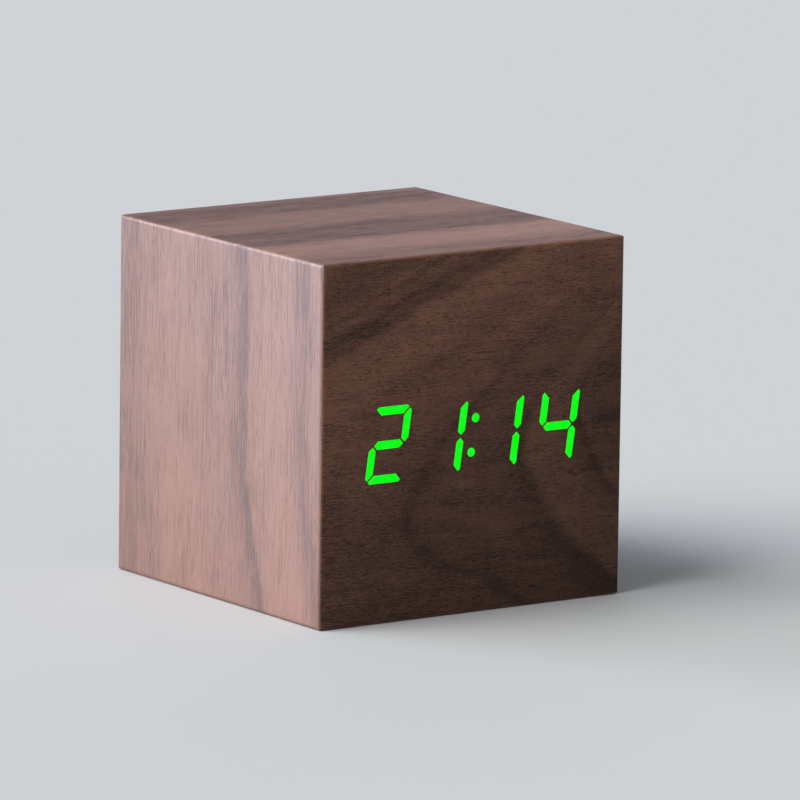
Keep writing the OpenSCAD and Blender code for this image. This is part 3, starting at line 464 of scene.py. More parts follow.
FRONT_PORES = [(1.0, 0.17, 0.2), (1.9, 0.20, 0.0), (5.0, 0.32, -0.55)]
FRONT_TINT = (0.47, 0.52, 0.62)
FRONT_GLOSS = (0.12, 0.46)


def bands(place, spread, stops):
    """Tones at places in millimetres within a spread."""
    return ramp(place / spread, [(at / spread, tone) for at, tone in stops])


def ring_axes(along, across):
    """Distances along and across the line of the tips, ragged and bent as growth is."""
    far = along - RING_TIP[0] + sway(along, across, *RAGGED_RINGS, detail=2.0)
    high = across - RING_TIP[1] + sway(along, across, *BENT_RINGS)
    cos, sin = math.cos(RING_SLOPE), math.sin(RING_SLOPE)
    return far * cos + high * sin, far * sin - high * cos


def ring_number(on_line, off_line):
    """Counts rings outwards from their tips, in millimetres."""
    weight = rescale(off_line, -LINE_BLUR, LINE_BLUR, 1.0, rescale(on_line, *OPENING))
    pull = rescale(off_line * -1.0, *STRAIGHTENING)
    square = pull * (RING_START - on_line) + weight * (off_line * off_line)
    return calc("SQRT", calc("MAXIMUM", square, 0.0))


def front_figure(along, across):
    """Tone and crowding of the front leaf, with painted shade towards the foot and the lower right and
    painted light towards the top.
    """
    on_line, off_line = ring_axes(along, across)
    tone = bands(ring_number(on_line, off_line), RING_SPREAD, FRONT_RINGS)
    above = rescale(off_line, *FAINT_UNDER) * rescale(off_line, *FAINT_OVER)
    tone = tone - above * rescale(on_line, *FAINT_ALONG) * (tone - 0.5)
    foot = rescale(along, *FOOT_ALONG) * rescale(across, *FOOT_UP)
    shade = rescale(along, *SHADE_ALONG) * rescale(across, *SHADE_UP)
    crowd = rescale(tone, *CROWD_BY_TONE) + foot * FOOT_CROWD
    return tone + rescale(across, *PAINTED_SHADE_FOOT_TO_TOP) - shade, crowd


walnut_front = walnut("walnut_front", "XZ", front_figure, FRONT_TONES, FRONT_PORES, FRONT_TINT, FRONT_GLOSS)
dress(walnut_front, "front_veneer", "dark_lenses")
print("Front leaf with", len(FRONT_RINGS), "tones across its rings")

# %% [markdown]
# ### Figures of the other leaves
# These leaves are quarter-sawn, so their figure is bands along the grain, upright on the sides and across
# on the top. On the left a dark streak drifts towards the front near its foot. The strips round the back
# are mitred, so at their corners the grain turns.

# %% Figures of the other leaves
LEFT_BANDS = [
    (0.0, 0.40), (6.0, 0.42), (10.0, 0.56), (20.0, 0.66), (27.0, 0.62), (30.5, 0.52), (35.0, 0.56),
    (39.0, 0.46), (42.0, 0.28), (43.2, 0.16), (44.4, 0.56), (50.0, 0.80), (56.0, 0.74), (59.5, 0.52),
    (62.0, 0.36), (63.5, 0.44), (65.5, 0.64), (68.0, 0.58),
]
TOP_BANDS = [
    (0.0, 0.58), (2.5, 0.46), (4.5, 0.20), (12.0, 0.22), (15.0, 0.46), (18.0, 0.56), (27.0, 0.58),
    (31.0, 0.34), (33.0, 0.14), (37.0, 0.28), (41.0, 0.26), (43.5, 0.16), (46.0, 0.58), (49.0, 0.84),
    (56.0, 0.80), (59.0, 0.58), (63.0, 0.40), (68.0, 0.52),
]
RAGGED_BANDS = (1.6, 20.0, 0.30, 31.0)
BENT_BANDS = (1.2, 26.0, 8.0, 33.0)
LINES_BY_TONE = (0.15, 0.65, 0.95, 0.1)
LEFT_DRIFT = (0.0, 24.0, 6.0, 0.0)
RIGHT_DRIFT = (68.0, 50.0, 4.0, 0.0)
MITRE_BLUR = 0.02


def banded_figure(stops, way, drift=None):
    """Bands from one edge of a leaf. A drift is a span that bends them near one end."""
    def figure(along, across):
        place = across * way + side / 2
        if drift:
            place = place - rescale(along, *drift)
        place = place + sway(along, across, *RAGGED_BANDS, detail=2.0) + sway(along, across, *BENT_BANDS)
        tone = bands(place, side, stops)
        return tone, rescale(tone, *LINES_BY_TONE)

    return figure


def mitred(place):
    """Grain along each strip of a mitred frame."""
    flat, high = place["X"], place["Z"] - side / 2
    upright = rescale(abs(flat) - abs(high), -MITRE_BLUR, MITRE_BLUR)
    return flat + upright * (high - flat), high + upright * (flat - high)


left_figure = banded_figure(LEFT_BANDS, -1.0, LEFT_DRIFT)
right_figure = banded_figure(LEFT_BANDS, 1.0, RIGHT_DRIFT)
top_figure = banded_figure(TOP_BANDS, -1.0)
base_figure = banded_figure(TOP_BANDS, 1.0)
print("Figures with", len(LEFT_BANDS), "bands on the sides and", len(TOP_BANDS), "on the top")

# %% [markdown]
# ### Side, top, base and back leaves
# Here the pores are cut along their length, so they are long fine lines that crowd in the darker bands.
# On the sides a warmer wash grows towards the foot and back. It is painted sheen, which leaves them paler
# and cooler towards the top and front. The tones of the sides and top hold painted sheen too. The leaves
# that no photograph shows take the same kind of figure.

# %% Side, top, base and back leaves
# The side and top tones are walnut with painted sheen in them. They are paler and more lilac than the wood,
# the sides most, and the right side takes the left's.
SIDE_TONES_WITH_SHEEN = [(0.212, 0.138, 0.142), (0.312, 0.192, 0.179), (0.394, 0.236, 0.202)]
TOP_TONES_WITH_SHEEN = [(0.158, 0.092, 0.082), (0.236, 0.131, 0.111), (0.360, 0.198, 0.166)]
BACK_TONES = [(0.140, 0.079, 0.062), (0.212, 0.118, 0.092), (0.310, 0.170, 0.132)]
SIDE_LINES = [(9.0, 0.20, 0.15), (3.0, 0.18, 0.15), (16.0, 0.18, 0.15)]
TOP_LINES = [(8.0, 0.36, 0.0), (16.0, 0.44, -0.1), (4.0, 0.40, -0.1)]
LINE_TINT = (0.70, 0.735, 0.81)
SIDE_GLOSS = (0.5, 0.42)
TOP_GLOSS = (0.2, 0.55)
# Painted sheen: the sides are tinted warmer towards the foot and back, so they stay paler and cooler towards
# the top and front.
SIDE_SHEEN_WASH = [("Z", side, 0.0, (0.91, 0.77, 0.65)), ("Y", -30.0, 30.0, (0.96, 0.89, 0.82))]
TOP_WASH = [("X", side / 2, -side / 2, (0.91, 0.89, 0.88))]
# The last value of the sides is the share of painted highlight on their upper rim.
SIDE_KIND = (SIDE_TONES_WITH_SHEEN, SIDE_LINES, LINE_TINT, SIDE_GLOSS, SIDE_SHEEN_WASH, 1.0)
BACK_KIND = (BACK_TONES, TOP_LINES, LINE_TINT, TOP_GLOSS)
LEAVES = {
    "left_veneer": ("walnut_left", "ZY", left_figure, *SIDE_KIND),
    "right_veneer": ("walnut_right", "ZY", right_figure, *SIDE_KIND),
    "top_veneer": ("walnut_top", "XY", top_figure, TOP_TONES_WITH_SHEEN, TOP_LINES, LINE_TINT, TOP_GLOSS, TOP_WASH),
    "bottom_veneer": ("walnut_base", "XY", base_figure, *BACK_KIND),
    "back_edging": ("walnut_edging", mitred, base_figure, *BACK_KIND),
}
for leaf_node, values in LEAVES.items():
    dress(walnut(*values), leaf_node)
print("Leaves on", ", ".join(LEAVES))

# %% [markdown]
# ## Lit segments
# The numerals shine through light guides that end flush with the leaf, so bright that they show as almost
# one green. The light is paler in soft patches, where the chips behind are near.

# %% Lit segments
LIT_PATCHES = (1.5, 0.9, 41.0)
LIT_TONES = [(0.35, (0.0004, 0.90, 0.002)), (0.55, (0.0012, 0.97, 0.006)), (0.75, (0.0060, 1.0, 0.060))]

lit_finish = new_finish("lit_segment", {
    "Base Color": (0.002, 0.10, 0.004, 1.0), "Roughness": 0.6, "Specular IOR Level": 0.1,
    "Emission Strength": 1.0,
})
lit_place = millimetres()
lit_noise = streaks(lit_place["X"], lit_place["Z"], *LIT_PATCHES, detail=2.0)
give("Emission Color", ramp(lit_noise, LIT_TONES))
dress(lit_finish, "lit_lenses")
print("Segments lit")

# %% [markdown]
# ## Fibreboard
# The leaves are glued to fibreboard: matted fibres without grain and a few dark specks, so two sizes of
# noise break up its tone. Round the cover its edges show, stained brown to match the walnut.

# %% Fibreboard
STAIN_REACH = 1.0
STAIN_BLUR = 0.1
MAT_SIZE = 1.4
MAT_DEPTH = 0.06
SPECK_SIZE = 0.5
SPECK_SPAN = (0.60, 0.70, 0.0, 0.5)
BOARD_TONES = ((0.33, 0.22, 0.125), (0.50, 0.355, 0.215))
STAIN_TONES = ((0.045, 0.027, 0.021), (0.075, 0.045, 0.034))
SPECK_TONE = (0.20, 0.12, 0.06)

stain_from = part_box("back_cover")[1].y / MM - STAIN_REACH
board_finish = new_finish("fibreboard", {"Roughness": 0.9, "Specular IOR Level": 0.2})
board_mat = speckle(MAT_SIZE, 1.0, detail=4.0)
board_specks = rescale(speckle(SPECK_SIZE, 2.0), *SPECK_SPAN)
raw_board = mix(board_specks, between(board_mat, *BOARD_TONES), SPECK_TONE)
stained = rescale(millimetres()["Y"], stain_from - STAIN_BLUR, stain_from + STAIN_BLUR)
give("Base Color", mix(stained, raw_board, between(board_mat, *STAIN_TONES)))
relief(board_mat, MAT_DEPTH)
dress(board_finish, "front_board", "top_board", "bottom_board", "left_board", "right_board")
print("Boards dressed, stained from", round(stain_from, 2), "mm")

# %% [markdown]
# ## Softwood
# Two blocks of planed pine take the cover's screws. Pine has narrow rings, each pale at first and dark
# where it ends, so the walnut recipe gets a figure that counts rings.

# %% Softwood
PINE_RING = 2.4
PINE_WAVE = (1.5, 20.0, 6.0, 61.0)
TONE_BY_RING = (0.15, 0.95, 0.85, 0.2)
PINE_TONES = [(0.42, 0.25, 0.105), (0.58, 0.40, 0.21), (0.70, 0.53, 0.31)]
PINE_PORES = [(2.0, 0.2, 0.0)]
PINE_TINT = (0.75, 0.68, 0.60)
PINE_GLOSS = (0.3, 0.6)


def pine_figure(along, across):
    """Rings that repeat across the block, with no crowding."""
    rings = (across + sway(along, across, *PINE_WAVE)) / PINE_RING
    return rescale(calc("FRACT", rings), *TONE_BY_RING), 0.0


softwood = walnut("softwood", "YX", pine_figure, PINE_TONES, PINE_PORES, PINE_TINT, PINE_GLOSS)
dress(softwood, "cover_blocks")
print("Blocks of pine with rings", PINE_RING, "mm apart")

# %% [markdown]
# ## Moulded plastics
# Cover, door, buttons and housings are injection moulded. A spark-eroded mould leaves an even grain, and
# handling polishes it in patches, so fine noise drives the bump, broad noise the gloss, and the mean of both
# the tone.

# %% Moulded plastics
MEAN_SPAN = (0.35, 0.65)
POLISH_PATCH = 8.0
DEEP = 0.8
PALE = 1.2
PALE_LIFT = 0.003


def toned(tone, share, lift=0.0):
    """A tone made deeper or paler by a share."""
    return tuple(min(1.0, share * part + lift) for part in tone)


def moulded(name, tone, gloss, grain, depth):
    """Plastic of a tone, with a span of roughness and a grain of a size and depth."""
    finish = new_finish(name, {"IOR": 1.5})
    fine = speckle(grain, 11.0)
    broad = speckle(POLISH_PATCH, 12.0, detail=3.0)
    tones = zip(MEAN_SPAN, (toned(tone, DEEP), toned(tone, PALE, PALE_LIFT)))
    give("Base Color", ramp(fine * 0.5 + broad * 0.5, list(tones)))
    rough_by(broad, *gloss)
    relief(fine, depth)
    return finish


cover_plastic = moulded("cover_plastic", (0.020, 0.020, 0.021), (0.46, 0.60), 0.45, 0.020)
button_plastic = moulded("button_plastic", (0.030, 0.030, 0.032), (0.30, 0.42), 0.30, 0.006)
white_plastic = moulded("white_plastic", (0.80, 0.80, 0.78), (0.40, 0.55), 0.30, 0.006)
white_print = moulded("white_print", (0.72, 0.72, 0.70), (0.50, 0.62), 0.18, 0.004)
black_film = moulded("mask_film", (0.010, 0.010, 0.010), (0.55, 0.75), 0.12, 0.002)
black_package = moulded("chip_package", (0.030, 0.030, 0.030), (0.50, 0.65), 0.16, 0.006)
yellow_resin = moulded("led_chip", (0.85, 0.80, 0.45), (0.12, 0.25), 0.40, 0.004)
dress(black_film, "segment_mask")
dress(white_plastic, "display_reflector", "display_spacers")
dress(yellow_resin, "led_chips")
dress(button_plastic, "set_plunger", "up_plunger", "down_plunger")
dress(black_package, "buzzer", "backup_cell_holder")
print("Seven plastics")

# %% [markdown]
# ## Plated metal
# Screws are zinc plated, and contacts, springs, cans and shells are nickel. Drawn metal keeps fine lines
# and plating dulls in soft patches. Both mainly change how sharp the reflection is, so they drive
# roughness.

# %% Plated metal
DRAWN_LINES = (6.0, 0.07, 51.0)
DULL_PATCH = 2.2
DULL_SHARE = 0.82
LINE_DEPTH = 0.002


def plated(name, tone, axes, gloss):
    """Metal with drawn lines along the first of two axes, and a span of roughness."""
    finish = new_finish(name, {"Metallic": 1.0})
    place = millimetres()
    lines = streaks(place[axes[0]], place[axes[1]], *DRAWN_LINES, detail=2.0)
    patches = speckle(DULL_PATCH, 52.0, detail=3.0)
    give("Base Color", between(patches, toned(tone, DULL_SHARE), tone))
    give("Roughness", rescale(lines * 0.5 + patches * 0.5, *MEAN_SPAN, *gloss))
    relief(lines, LINE_DEPTH)
    return finish


zinc = plated("zinc_screw", (0.62, 0.62, 0.60), "XZ", (0.26, 0.44))
nickel = plated("nickel", (0.70, 0.69, 0.66), "ZY", (0.20, 0.36))
dress(zinc, "display_screws", "main_board_screws", "cover_screws")
dress(
    nickel, "set_switch", "up_switch", "down_switch", "sound_switch_case", "dc_jack_pin", "microphone",
    "crystal", "backup_cell", "battery_contacts",
)
print("Zinc and nickel")

# %% [markdown]
# ## Circuit boards
# A board is glass epoxy under green resist, with copper tracks that show as paler, raised lines. They lie
# on an even pitch, so rows are counted off, and noise that is steady along a row says where a track starts
# and stops.

# %% Circuit boards
TRACK_PITCH = 1.27
TRACK_EDGE = (0.16, 0.24, 1.0, 0.0)
TRACK_RUNS = (9.0, 0.73, 71.0)
TRACK_STARTS = (0.48, 0.51)
TRACK_TONE = (0.045, 0.260, 0.100)
TRACK_RISE = 0.035
WEAVE_SIZE = 0.5
RESIST_GLOSS = (0.28, 0.42)
RESIST_TONES = ((0.010, 0.110, 0.040), (0.018, 0.155, 0.060))

resist = new_finish("circuit_board", {"IOR": 1.5})
resist_place = millimetres()
row = resist_place["Z"] / TRACK_PITCH
off_track = abs(calc("FRACT", row) - 0.5)
run = streaks(resist_place["X"], calc("FLOOR", row), *TRACK_RUNS)
track = rescale(off_track, *TRACK_EDGE) * rescale(run, *TRACK_STARTS)
weave = speckle(WEAVE_SIZE, 72.0)
give("Base Color", mix(track, between(weave, *RESIST_TONES), TRACK_TONE))
rough_by(weave, *RESIST_GLOSS)
relief(track, TRACK_RISE)
dress(resist, "display_board", "main_board")
print("Boards with tracks", TRACK_PITCH, "mm apart")

# %% [markdown]
# ## Chips and resistors
# Chips have tin leads beyond a black body, and resistors have tin ends. Each is one CAD piece, so the place
# along it chooses the tone.

# %% Chips and resistors
TIN = (0.66, 0.66, 0.64)
CHIP = (0.03, 0.03, 0.03)
RESISTOR = (0.025, 0.025, 0.028)
LEAD_REACH = 1.0
RESISTOR_BODY = 0.72
BODY_BLUR = 0.01
BODY_GRAIN = 0.16
BODY_GRAIN_DEPTH = 0.004
BODY_GLOSS = (0.32, 0.50)


def tin_ended(node, name, axis, tone, share, leads):
    """A body of a share of a node's length less its leads, and tin beyond it."""
    low, high = (corner["XYZ".index(axis)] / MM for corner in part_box(node))
    half = share * (high - low) / 2 - leads
    finish = new_finish(name, {"IOR": 1.5})
    metal = rescale(abs(millimetres()[axis] - (low + high) / 2), half - BODY_BLUR, half + BODY_BLUR)
    grain = speckle(BODY_GRAIN, 81.0)
    give("Base Color", mix(metal, between(grain, toned(tone, DEEP), tone), TIN))
    give("Metallic", metal)
    rough_by(grain, *BODY_GLOSS)
    relief(grain, BODY_GRAIN_DEPTH)
    dress(finish, node)


tin_ended("display_driver_chip", "display_driver_chip", "Z", CHIP, 1.0, LEAD_REACH)
tin_ended("clock_chip", "clock_chip", "X", CHIP, 1.0, LEAD_REACH)
tin_ended("segment_resistors", "segment_resistor", "Z", RESISTOR, RESISTOR_BODY, 0.0)
print("Tin ends on two chips and the resistors")

# %% [markdown]
# ## Capacitor
# The capacitor is a can in a blue sleeve, with a pale stripe down one side and a bare end.

# %% Capacitor
STRIPE_FROM = (1.2, 1.3)
BARE_END = (0.02, 0.04, 1.0, 0.0)
SLEEVE_PATCH = 1.0
SLEEVE_TONES = ((0.022, 0.030, 0.125), (0.034, 0.046, 0.180))
STRIPE_TONE = (0.55, 0.57, 0.62)
BARE_TONE = (0.62, 0.62, 0.61)

sleeve_low, sleeve_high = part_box("capacitor")
sleeve_x = (sleeve_low.x + sleeve_high.x) / 2 / MM
sleeve = new_finish("cap_sleeve", {"Roughness": 0.28})
sleeve_place = millimetres()
stripe = rescale(sleeve_place["X"] - sleeve_x, *STRIPE_FROM)
bare = rescale(sleeve_place["Y"] - sleeve_low.y / MM, *BARE_END)
sleeve_tone = mix(stripe, between(speckle(SLEEVE_PATCH, 91.0), *SLEEVE_TONES), STRIPE_TONE)
give("Base Color", mix(bare, sleeve_tone, BARE_TONE))
give("Metallic", bare)
dress(sleeve, "capacitor")
print("Capacitor sleeved round", round(sleeve_x, 2), "mm")

# %% [markdown]
# ## Selecting
# A new piece starts as a primitive and is shaped in edit mode, as by hand. Operators act on what is
# selected, so these helpers select a piece, or its faces or sharp edges whose place in millimetres passes a
# test.

# %% Selecting
SHARP = math.radians(30.0)


def edit_mode():
    bpy.ops.object.mode_set(mode="EDIT")


def object_mode():
    bpy.ops.object.mode_set(mode="OBJECT")


def only(*pieces):
    """Selects the pieces and nothing else, with the first one active."""
    bpy.ops.object.select_all(action="DESELECT")
    for piece in pieces:
        piece.select_set(True)
    bpy.context.view_layer.objects.active = pieces[0]


def open_empty(piece, kind):
    """Opens a piece with none of its faces or edges selected."""
    only(piece)
    edit_mode()
    bpy.ops.mesh.select_mode(type=kind)
    bpy.ops.mesh.select_all(action="DESELECT")


def pick_faces(piece, test):
    """Opens a piece with the faces selected whose middle and normal pass a test."""
    open_empty(piece, "FACE")
    object_mode()
    for face in piece.data.polygons:
        face.select = test(face.center / MM, face.normal)
    edit_mode()


def pick_edges(piece, test):
    """Opens a piece with the sharp edges selected whose ends both pass a test."""
    open_empty(piece, "EDGE")
    bpy.ops.mesh.edges_select_sharp(sharpness=SHARP)
    object_mode()
    points = piece.data.vertices
    for edge in piece.data.edges:
        edge.select = edge.select and all(test(points[end].co / MM) for end in edge.vertices)
    for face in piece.data.polygons:
        face.select = False
    edit_mode()


print("Selecting ready")

# %% [markdown]
# ## Rounding and settling
# Moulded and painted edges are round, so picked edges are bevelled. A finished piece is settled: its place
# goes into its mesh, and it takes its finish, its body and the CAD nodes that it stands for.

# %% Rounding and settling
SMOOTH_UP_TO = math.radians(32.0)


def fix_place():
    """Writes the place, turn and size of what is selected into its mesh."""
    bpy.ops.object.transform_apply(location=True, rotation=True, scale=True)


def rounded(radius, test=lambda point: True):
    """Rounds the sharp edges of the active piece whose ends pass a test."""
    piece = bpy.context.object
    fix_place()
    pick_edges(piece, test)
    bpy.ops.mesh.bevel(offset=radius * MM, segments=2, affect="EDGES", clamp_overlap=False)
    object_mode()
    return piece


def joined(*pieces):
    """Makes several pieces one."""
    only(*pieces)
    fix_place()
    bpy.ops.object.join()
    return bpy.context.object


def settle(piece, name, finish, body, slot, *stands_for):
    """Gives a piece its shading, name, finish and body, and the nodes that it stands for. Slot is not used.
    """
    only(piece)
    bpy.ops.object.shade_smooth_by_angle(angle=SMOOTH_UP_TO)
    bpy.ops.object.modifier_add(type="WEIGHTED_NORMAL")
    piece.modifiers[-1].keep_sharp = True
    bpy.ops.object.modifier_apply(modifier=piece.modifiers[-1].name)
    fix_place()
    piece.name = name
    piece.data.name = name
    if finish:
        piece.data.materials.clear()
        piece.data.materials.append(finish)
    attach(piece, body)
    if stands_for:
        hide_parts(*stands_for)


print("Rounding and settling ready")

# %% [markdown]
# ## Rounded copies
# A copy of a CAD node is loose triangles, so it is merged, its flat outer faces are made whole again, and
# its sharp edges are rounded where a test passes. A face with a hole can't be one polygon, so a cut through
# the hole divides it. A cut also ends the rounding of an edge that runs on. It is given by the way that it
# faces and its place in millimetres.

# %% Rounded copies
ACROSS_X = Vector((1.0, 0.0, 0.0))
ACROSS_Z = Vector((0.0, 0.0, 1.0))
FLAT = math.radians(0.5)
OUTWARD = 0.99
MERGE = 0.001


def copy_of(mesh):
    """A new piece with its own copy of a mesh."""
    piece = bpy.data.objects.new("copy", mesh.copy())
    bpy.context.scene.collection.objects.link(piece)
    return piece


def rounded_copy(node, radius, test, finish, body, slot, cuts=()):
    """A copy of a CAD node with its sharp edges rounded where a test passes."""
    piece = copy_of(nodes[node].data)
    only(piece)
    bpy.ops.mesh.customdata_custom_splitnormals_clear()
    edit_mode()
    bpy.ops.mesh.select_all(action="SELECT")
    bpy.ops.mesh.remove_doubles(threshold=MERGE * MM)
    for across, place in cuts:
        bpy.ops.mesh.select_all(action="SELECT")
        bpy.ops.mesh.bisect(plane_co=across * place * MM, plane_no=across)
        bpy.ops.mesh.mark_seam()
    object_mode()
    pick_faces(piece, lambda point, normal: test(point) and normal.y > OUTWARD)
    bpy.ops.mesh.dissolve_limited(angle_limit=FLAT, delimit={"SEAM"})
    bpy.ops.mesh.select_all(action="SELECT")
    bpy.ops.mesh.tris_convert_to_quads(face_threshold=FLAT, shape_threshold=math.pi, seam=True)
    object_mode()
    rounded(radius, test)
    settle(piece, node + "_rounded", finish, body, slot, node)


print("Rounded copies ready")

# %% [markdown]
# ## Rounded mouldings on the back
# A real moulding has no sharp corner: its rims catch a thin line of light. Only edges near the outer face
# are rounded, so fits inside stay as they are, and the door's rounding ends above its knuckle, which turns
# in a close channel.

# %% Rounded mouldings on the back
SKIN = 0.05
SCREW_HEAD = 4.0
KNUCKLE_RISE = 2.4
MARK_ROOM = 2.0
KEYS = {"set": "set_key", "up": "up_key", "down": "down_key"}
cover_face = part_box("back_cover")[1].y / MM
door_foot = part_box("battery_door")[0].z / MM + KNUCKLE_RISE


def near_face(point):
    return point.y > cover_face - SKIN


def door_edge(point):
    return near_face(point) and point.z > door_foot - SKIN


def key_rim(middle):
    """A test for the rim of a round key, outside the mark on its top."""
    return lambda point: near_face(point) and math.hypot(point.x - middle.x, point.z - middle.z) > MARK_ROOM


def middle_of(node):
    """The middle of a node's box, in millimetres."""
    low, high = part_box(node)
    return (low + high) / 2 / MM


screw_low, screw_high = (corner.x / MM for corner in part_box("cover_screws"))
screw_x = (screw_high - screw_low) / 2 - SCREW_HEAD / 2
key_columns = [middle_of(key + "_button").x for key in KEYS]
hole_cuts = [(ACROSS_X, x) for x in (*key_columns, -screw_x, screw_x)]
door_cuts = [(ACROSS_Z, door_foot)]
jack_cuts = [(ACROSS_X, middle_of("dc_jack_pin").x)]
rounded_copy("back_cover", 0.20, near_face, cover_plastic, "case", "cover_plastic", hole_cuts)
rounded_copy("battery_door", 0.30, door_edge, cover_plastic, "battery_lid", "cover_plastic", door_cuts)
rounded_copy("battery_door_latch", 0.10, near_face, button_plastic, "battery_lid", "button_plastic")
rounded_copy("sound_switch_lever", 0.08, near_face, button_plastic, "sound_key", "button_plastic")
rounded_copy("dc_jack_case", 0.22, near_face, button_plastic, "case", "button_plastic", jack_cuts)
rounded_copy("cover_screws", 0.14, near_face, zinc, "case", "zinc_screw")
for key, body in KEYS.items():
    middle = middle_of(key + "_button")
    key_cuts = [(ACROSS_X, middle.x)]
    rounded_copy(key + "_button", 0.16, key_rim(middle), button_plastic, body, "button_plastic", key_cuts)
print("Nine mouldings rounded, on a cover whose face is at", round(cover_face, 2), "mm")

# %% [markdown]
# ## Paint in the marks
# Each key has a mark sunk into its top, filled with white paint that stops just under the top: a dot for
# set, arrowheads for up and down. The fills are prisms with rounded upper edges that ride on the keys.

# %% Paint in the marks
MARK_SIZE = 1.3
MARK_DEPTH = 0.25
PAINT_DEPTH = 0.14
PAINT_SHARE = 0.94
PAINT_ROUND = 0.04
UPRIGHT = (math.pi / 2, 0.0, math.pi)
UPSIDE_DOWN = (math.pi / 2, math.pi, math.pi)
TRIANGLE_WIDENING = 1 / math.cos(math.radians(30.0))


def prism(corners, across, up, depth, middle, turn, radius):
    """A prism on the cover with its outer edges rounded."""
    bpy.ops.mesh.primitive_cylinder_add(
        vertices=corners, radius=MM, depth=depth * MM, rotation=turn, location=middle * MM,
        scale=(across, up, 1.0),
    )
    return rounded(radius, lambda point: point.y > middle.y)


def paint_fill(key, corners, across, up, turn):
    """A fill for the mark on a key."""
    middle = middle_of(key + "_button")
    middle.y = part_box(key + "_button")[1].y / MM - MARK_DEPTH + PAINT_DEPTH / 2
    fill = prism(corners, PAINT_SHARE * across, PAINT_SHARE * up, PAINT_DEPTH, middle, turn, PAINT_ROUND)
    settle(fill, key + "_mark_paint", white_print, KEYS[key], "white_plastic")


paint_fill("set", 48, MARK_SIZE / 2, MARK_SIZE / 2, UPRIGHT)
paint_fill("up", 3, MARK_SIZE * TRIANGLE_WIDENING, MARK_SIZE, UPRIGHT)
paint_fill("down", 3, MARK_SIZE * TRIANGLE_WIDENING, MARK_SIZE, UPSIDE_DOWN)
print("Three marks filled")

# %% [markdown]
# ## Words on the cover
# The switch is printed ON and OFF at the ends of its stroke. Print is a film of ink, so a word is text with
# a hair of thickness, made a mesh.

# %% Words on the cover
INK = 0.02
WORD_SIZE = 1.9
WORD_PLACES = {"ON": 13.6, "OFF": 3.9}
switch_row = middle_of("sound_switch_lever").z

for word, x in WORD_PLACES.items():
    bpy.ops.object.text_add(location=(x * MM, cover_face * MM, switch_row * MM), rotation=UPRIGHT)
    print_text = bpy.context.object
    print_text.data.body = word
    print_text.data.size = WORD_SIZE * MM
    print_text.data.extrude = INK * MM
    print_text.data.align_x = "CENTER"
    print_text.data.align_y = "CENTER"
    only(print_text)
    bpy.ops.object.convert(target="MESH")
    settle(bpy.context.object, "word_" + word.lower(), white_print, "case", "white_plastic")
print("Words printed at", round(switch_row, 2), "mm")

# %% [markdown]
# ## Polarity sign
# Beside the inlet is the usual polarity sign: a ring with a bar, a dot in a cup, and a ring with a cross.
# It is made lying flat, the cup by opening a ring, then joined, pressed to the thickness of ink and stood
# up on the cover.

# %% Polarity sign
SIGN_X = -17.6
SIGN_PITCH = 2.7
RING_RADIUS = 0.75
CUP_OPENING = 0.45
DOT_RADIUS = 0.3
STROKE = 0.11
BAR_WIDTH = 0.2
BAR_LENGTH = 0.8
BAR_ROUND = 0.03
DOT_ROUND = 0.05


def sign_ring(x):
    bpy.ops.mesh.primitive_torus_add(
        location=(x * MM, 0.0, 0.0), major_radius=RING_RADIUS * MM, minor_radius=STROKE * MM,
        major_segments=40, minor_segments=8,
    )
    return bpy.context.object


def rounded_box(middle, size, radius):
    """A box with all its edges rounded, in millimetres."""
    bpy.ops.mesh.primitive_cube_add(size=MM, location=Vector(middle) * MM, scale=size)
    return rounded(radius)


def sign_bar(x, width, height):
    return rounded_box((x, 0.0, 0.0), (width, height, 2 * STROKE), BAR_ROUND)


def sign_cup():
    """A ring that is open towards X, with its two ends closed."""
    cup = sign_ring(0.0)
    pick_faces(cup, lambda point, normal: point.x > CUP_OPENING * RING_RADIUS)
    bpy.ops.mesh.delete(type="FACE")
    bpy.ops.mesh.select_all(action="SELECT")
    bpy.ops.mesh.region_to_loop()
    bpy.ops.mesh.edge_face_add()
    object_mode()
    return cup


def sign_dot():
    bpy.ops.mesh.primitive_cylinder_add(vertices=32, radius=DOT_RADIUS * MM, depth=2 * STROKE * MM)
    return rounded(DOT_ROUND)


to_ring = SIGN_PITCH - RING_RADIUS
sign_parts = [
    sign_cup(),
    sign_dot(),
    sign_ring(-SIGN_PITCH),
    sign_ring(SIGN_PITCH),
    sign_bar(-SIGN_PITCH, BAR_LENGTH, BAR_WIDTH),
    sign_bar(SIGN_PITCH, BAR_LENGTH, BAR_WIDTH),
    sign_bar(SIGN_PITCH, BAR_WIDTH, BAR_LENGTH),
    sign_bar(-SIGN_PITCH / 2, to_ring - RING_RADIUS, BAR_WIDTH),
    sign_bar(to_ring / 2, to_ring, BAR_WIDTH),
]
sign = joined(*sign_parts)
sign.scale.z = INK / STROKE
only(sign)
fix_place()
sign.rotation_euler = UPRIGHT
sign.location = (SIGN_X * MM, cover_face * MM, switch_row * MM)
settle(sign, "polarity_sign", white_print, "case", "white_plastic")
print("Sign of", len(sign_parts), "parts")

# %% [markdown]
# ## Arrow and latch floor on the battery door
# A raised arrowhead says which way the latch is pushed. The latch hangs on two springy legs, and a thin
# floor closes most of the window between them but leaves them room to spring. Both are moulded in one with
# the door: their feet are set into it and they ride on it.

# %% Arrow and latch floor on the battery door
ARROW_WIDTH = 4.4
ARROW_HEIGHT = 2.6
MIDDLE_TO_TIP = 2 / 3
ARROW_RISE = 0.3
ARROW_SUNK = 0.1
ARROW_BELOW = 3.0
ARROW_ROUND = 0.1
LATCH_FLOOR = (8.2, 0.6, 2.8)
LATCH_FLOOR_SUNK = 0.1
LATCH_FLOOR_ROUND = 0.08
DOOR_WALL = 1.5
latch_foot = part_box("battery_door_latch")[0].z / MM

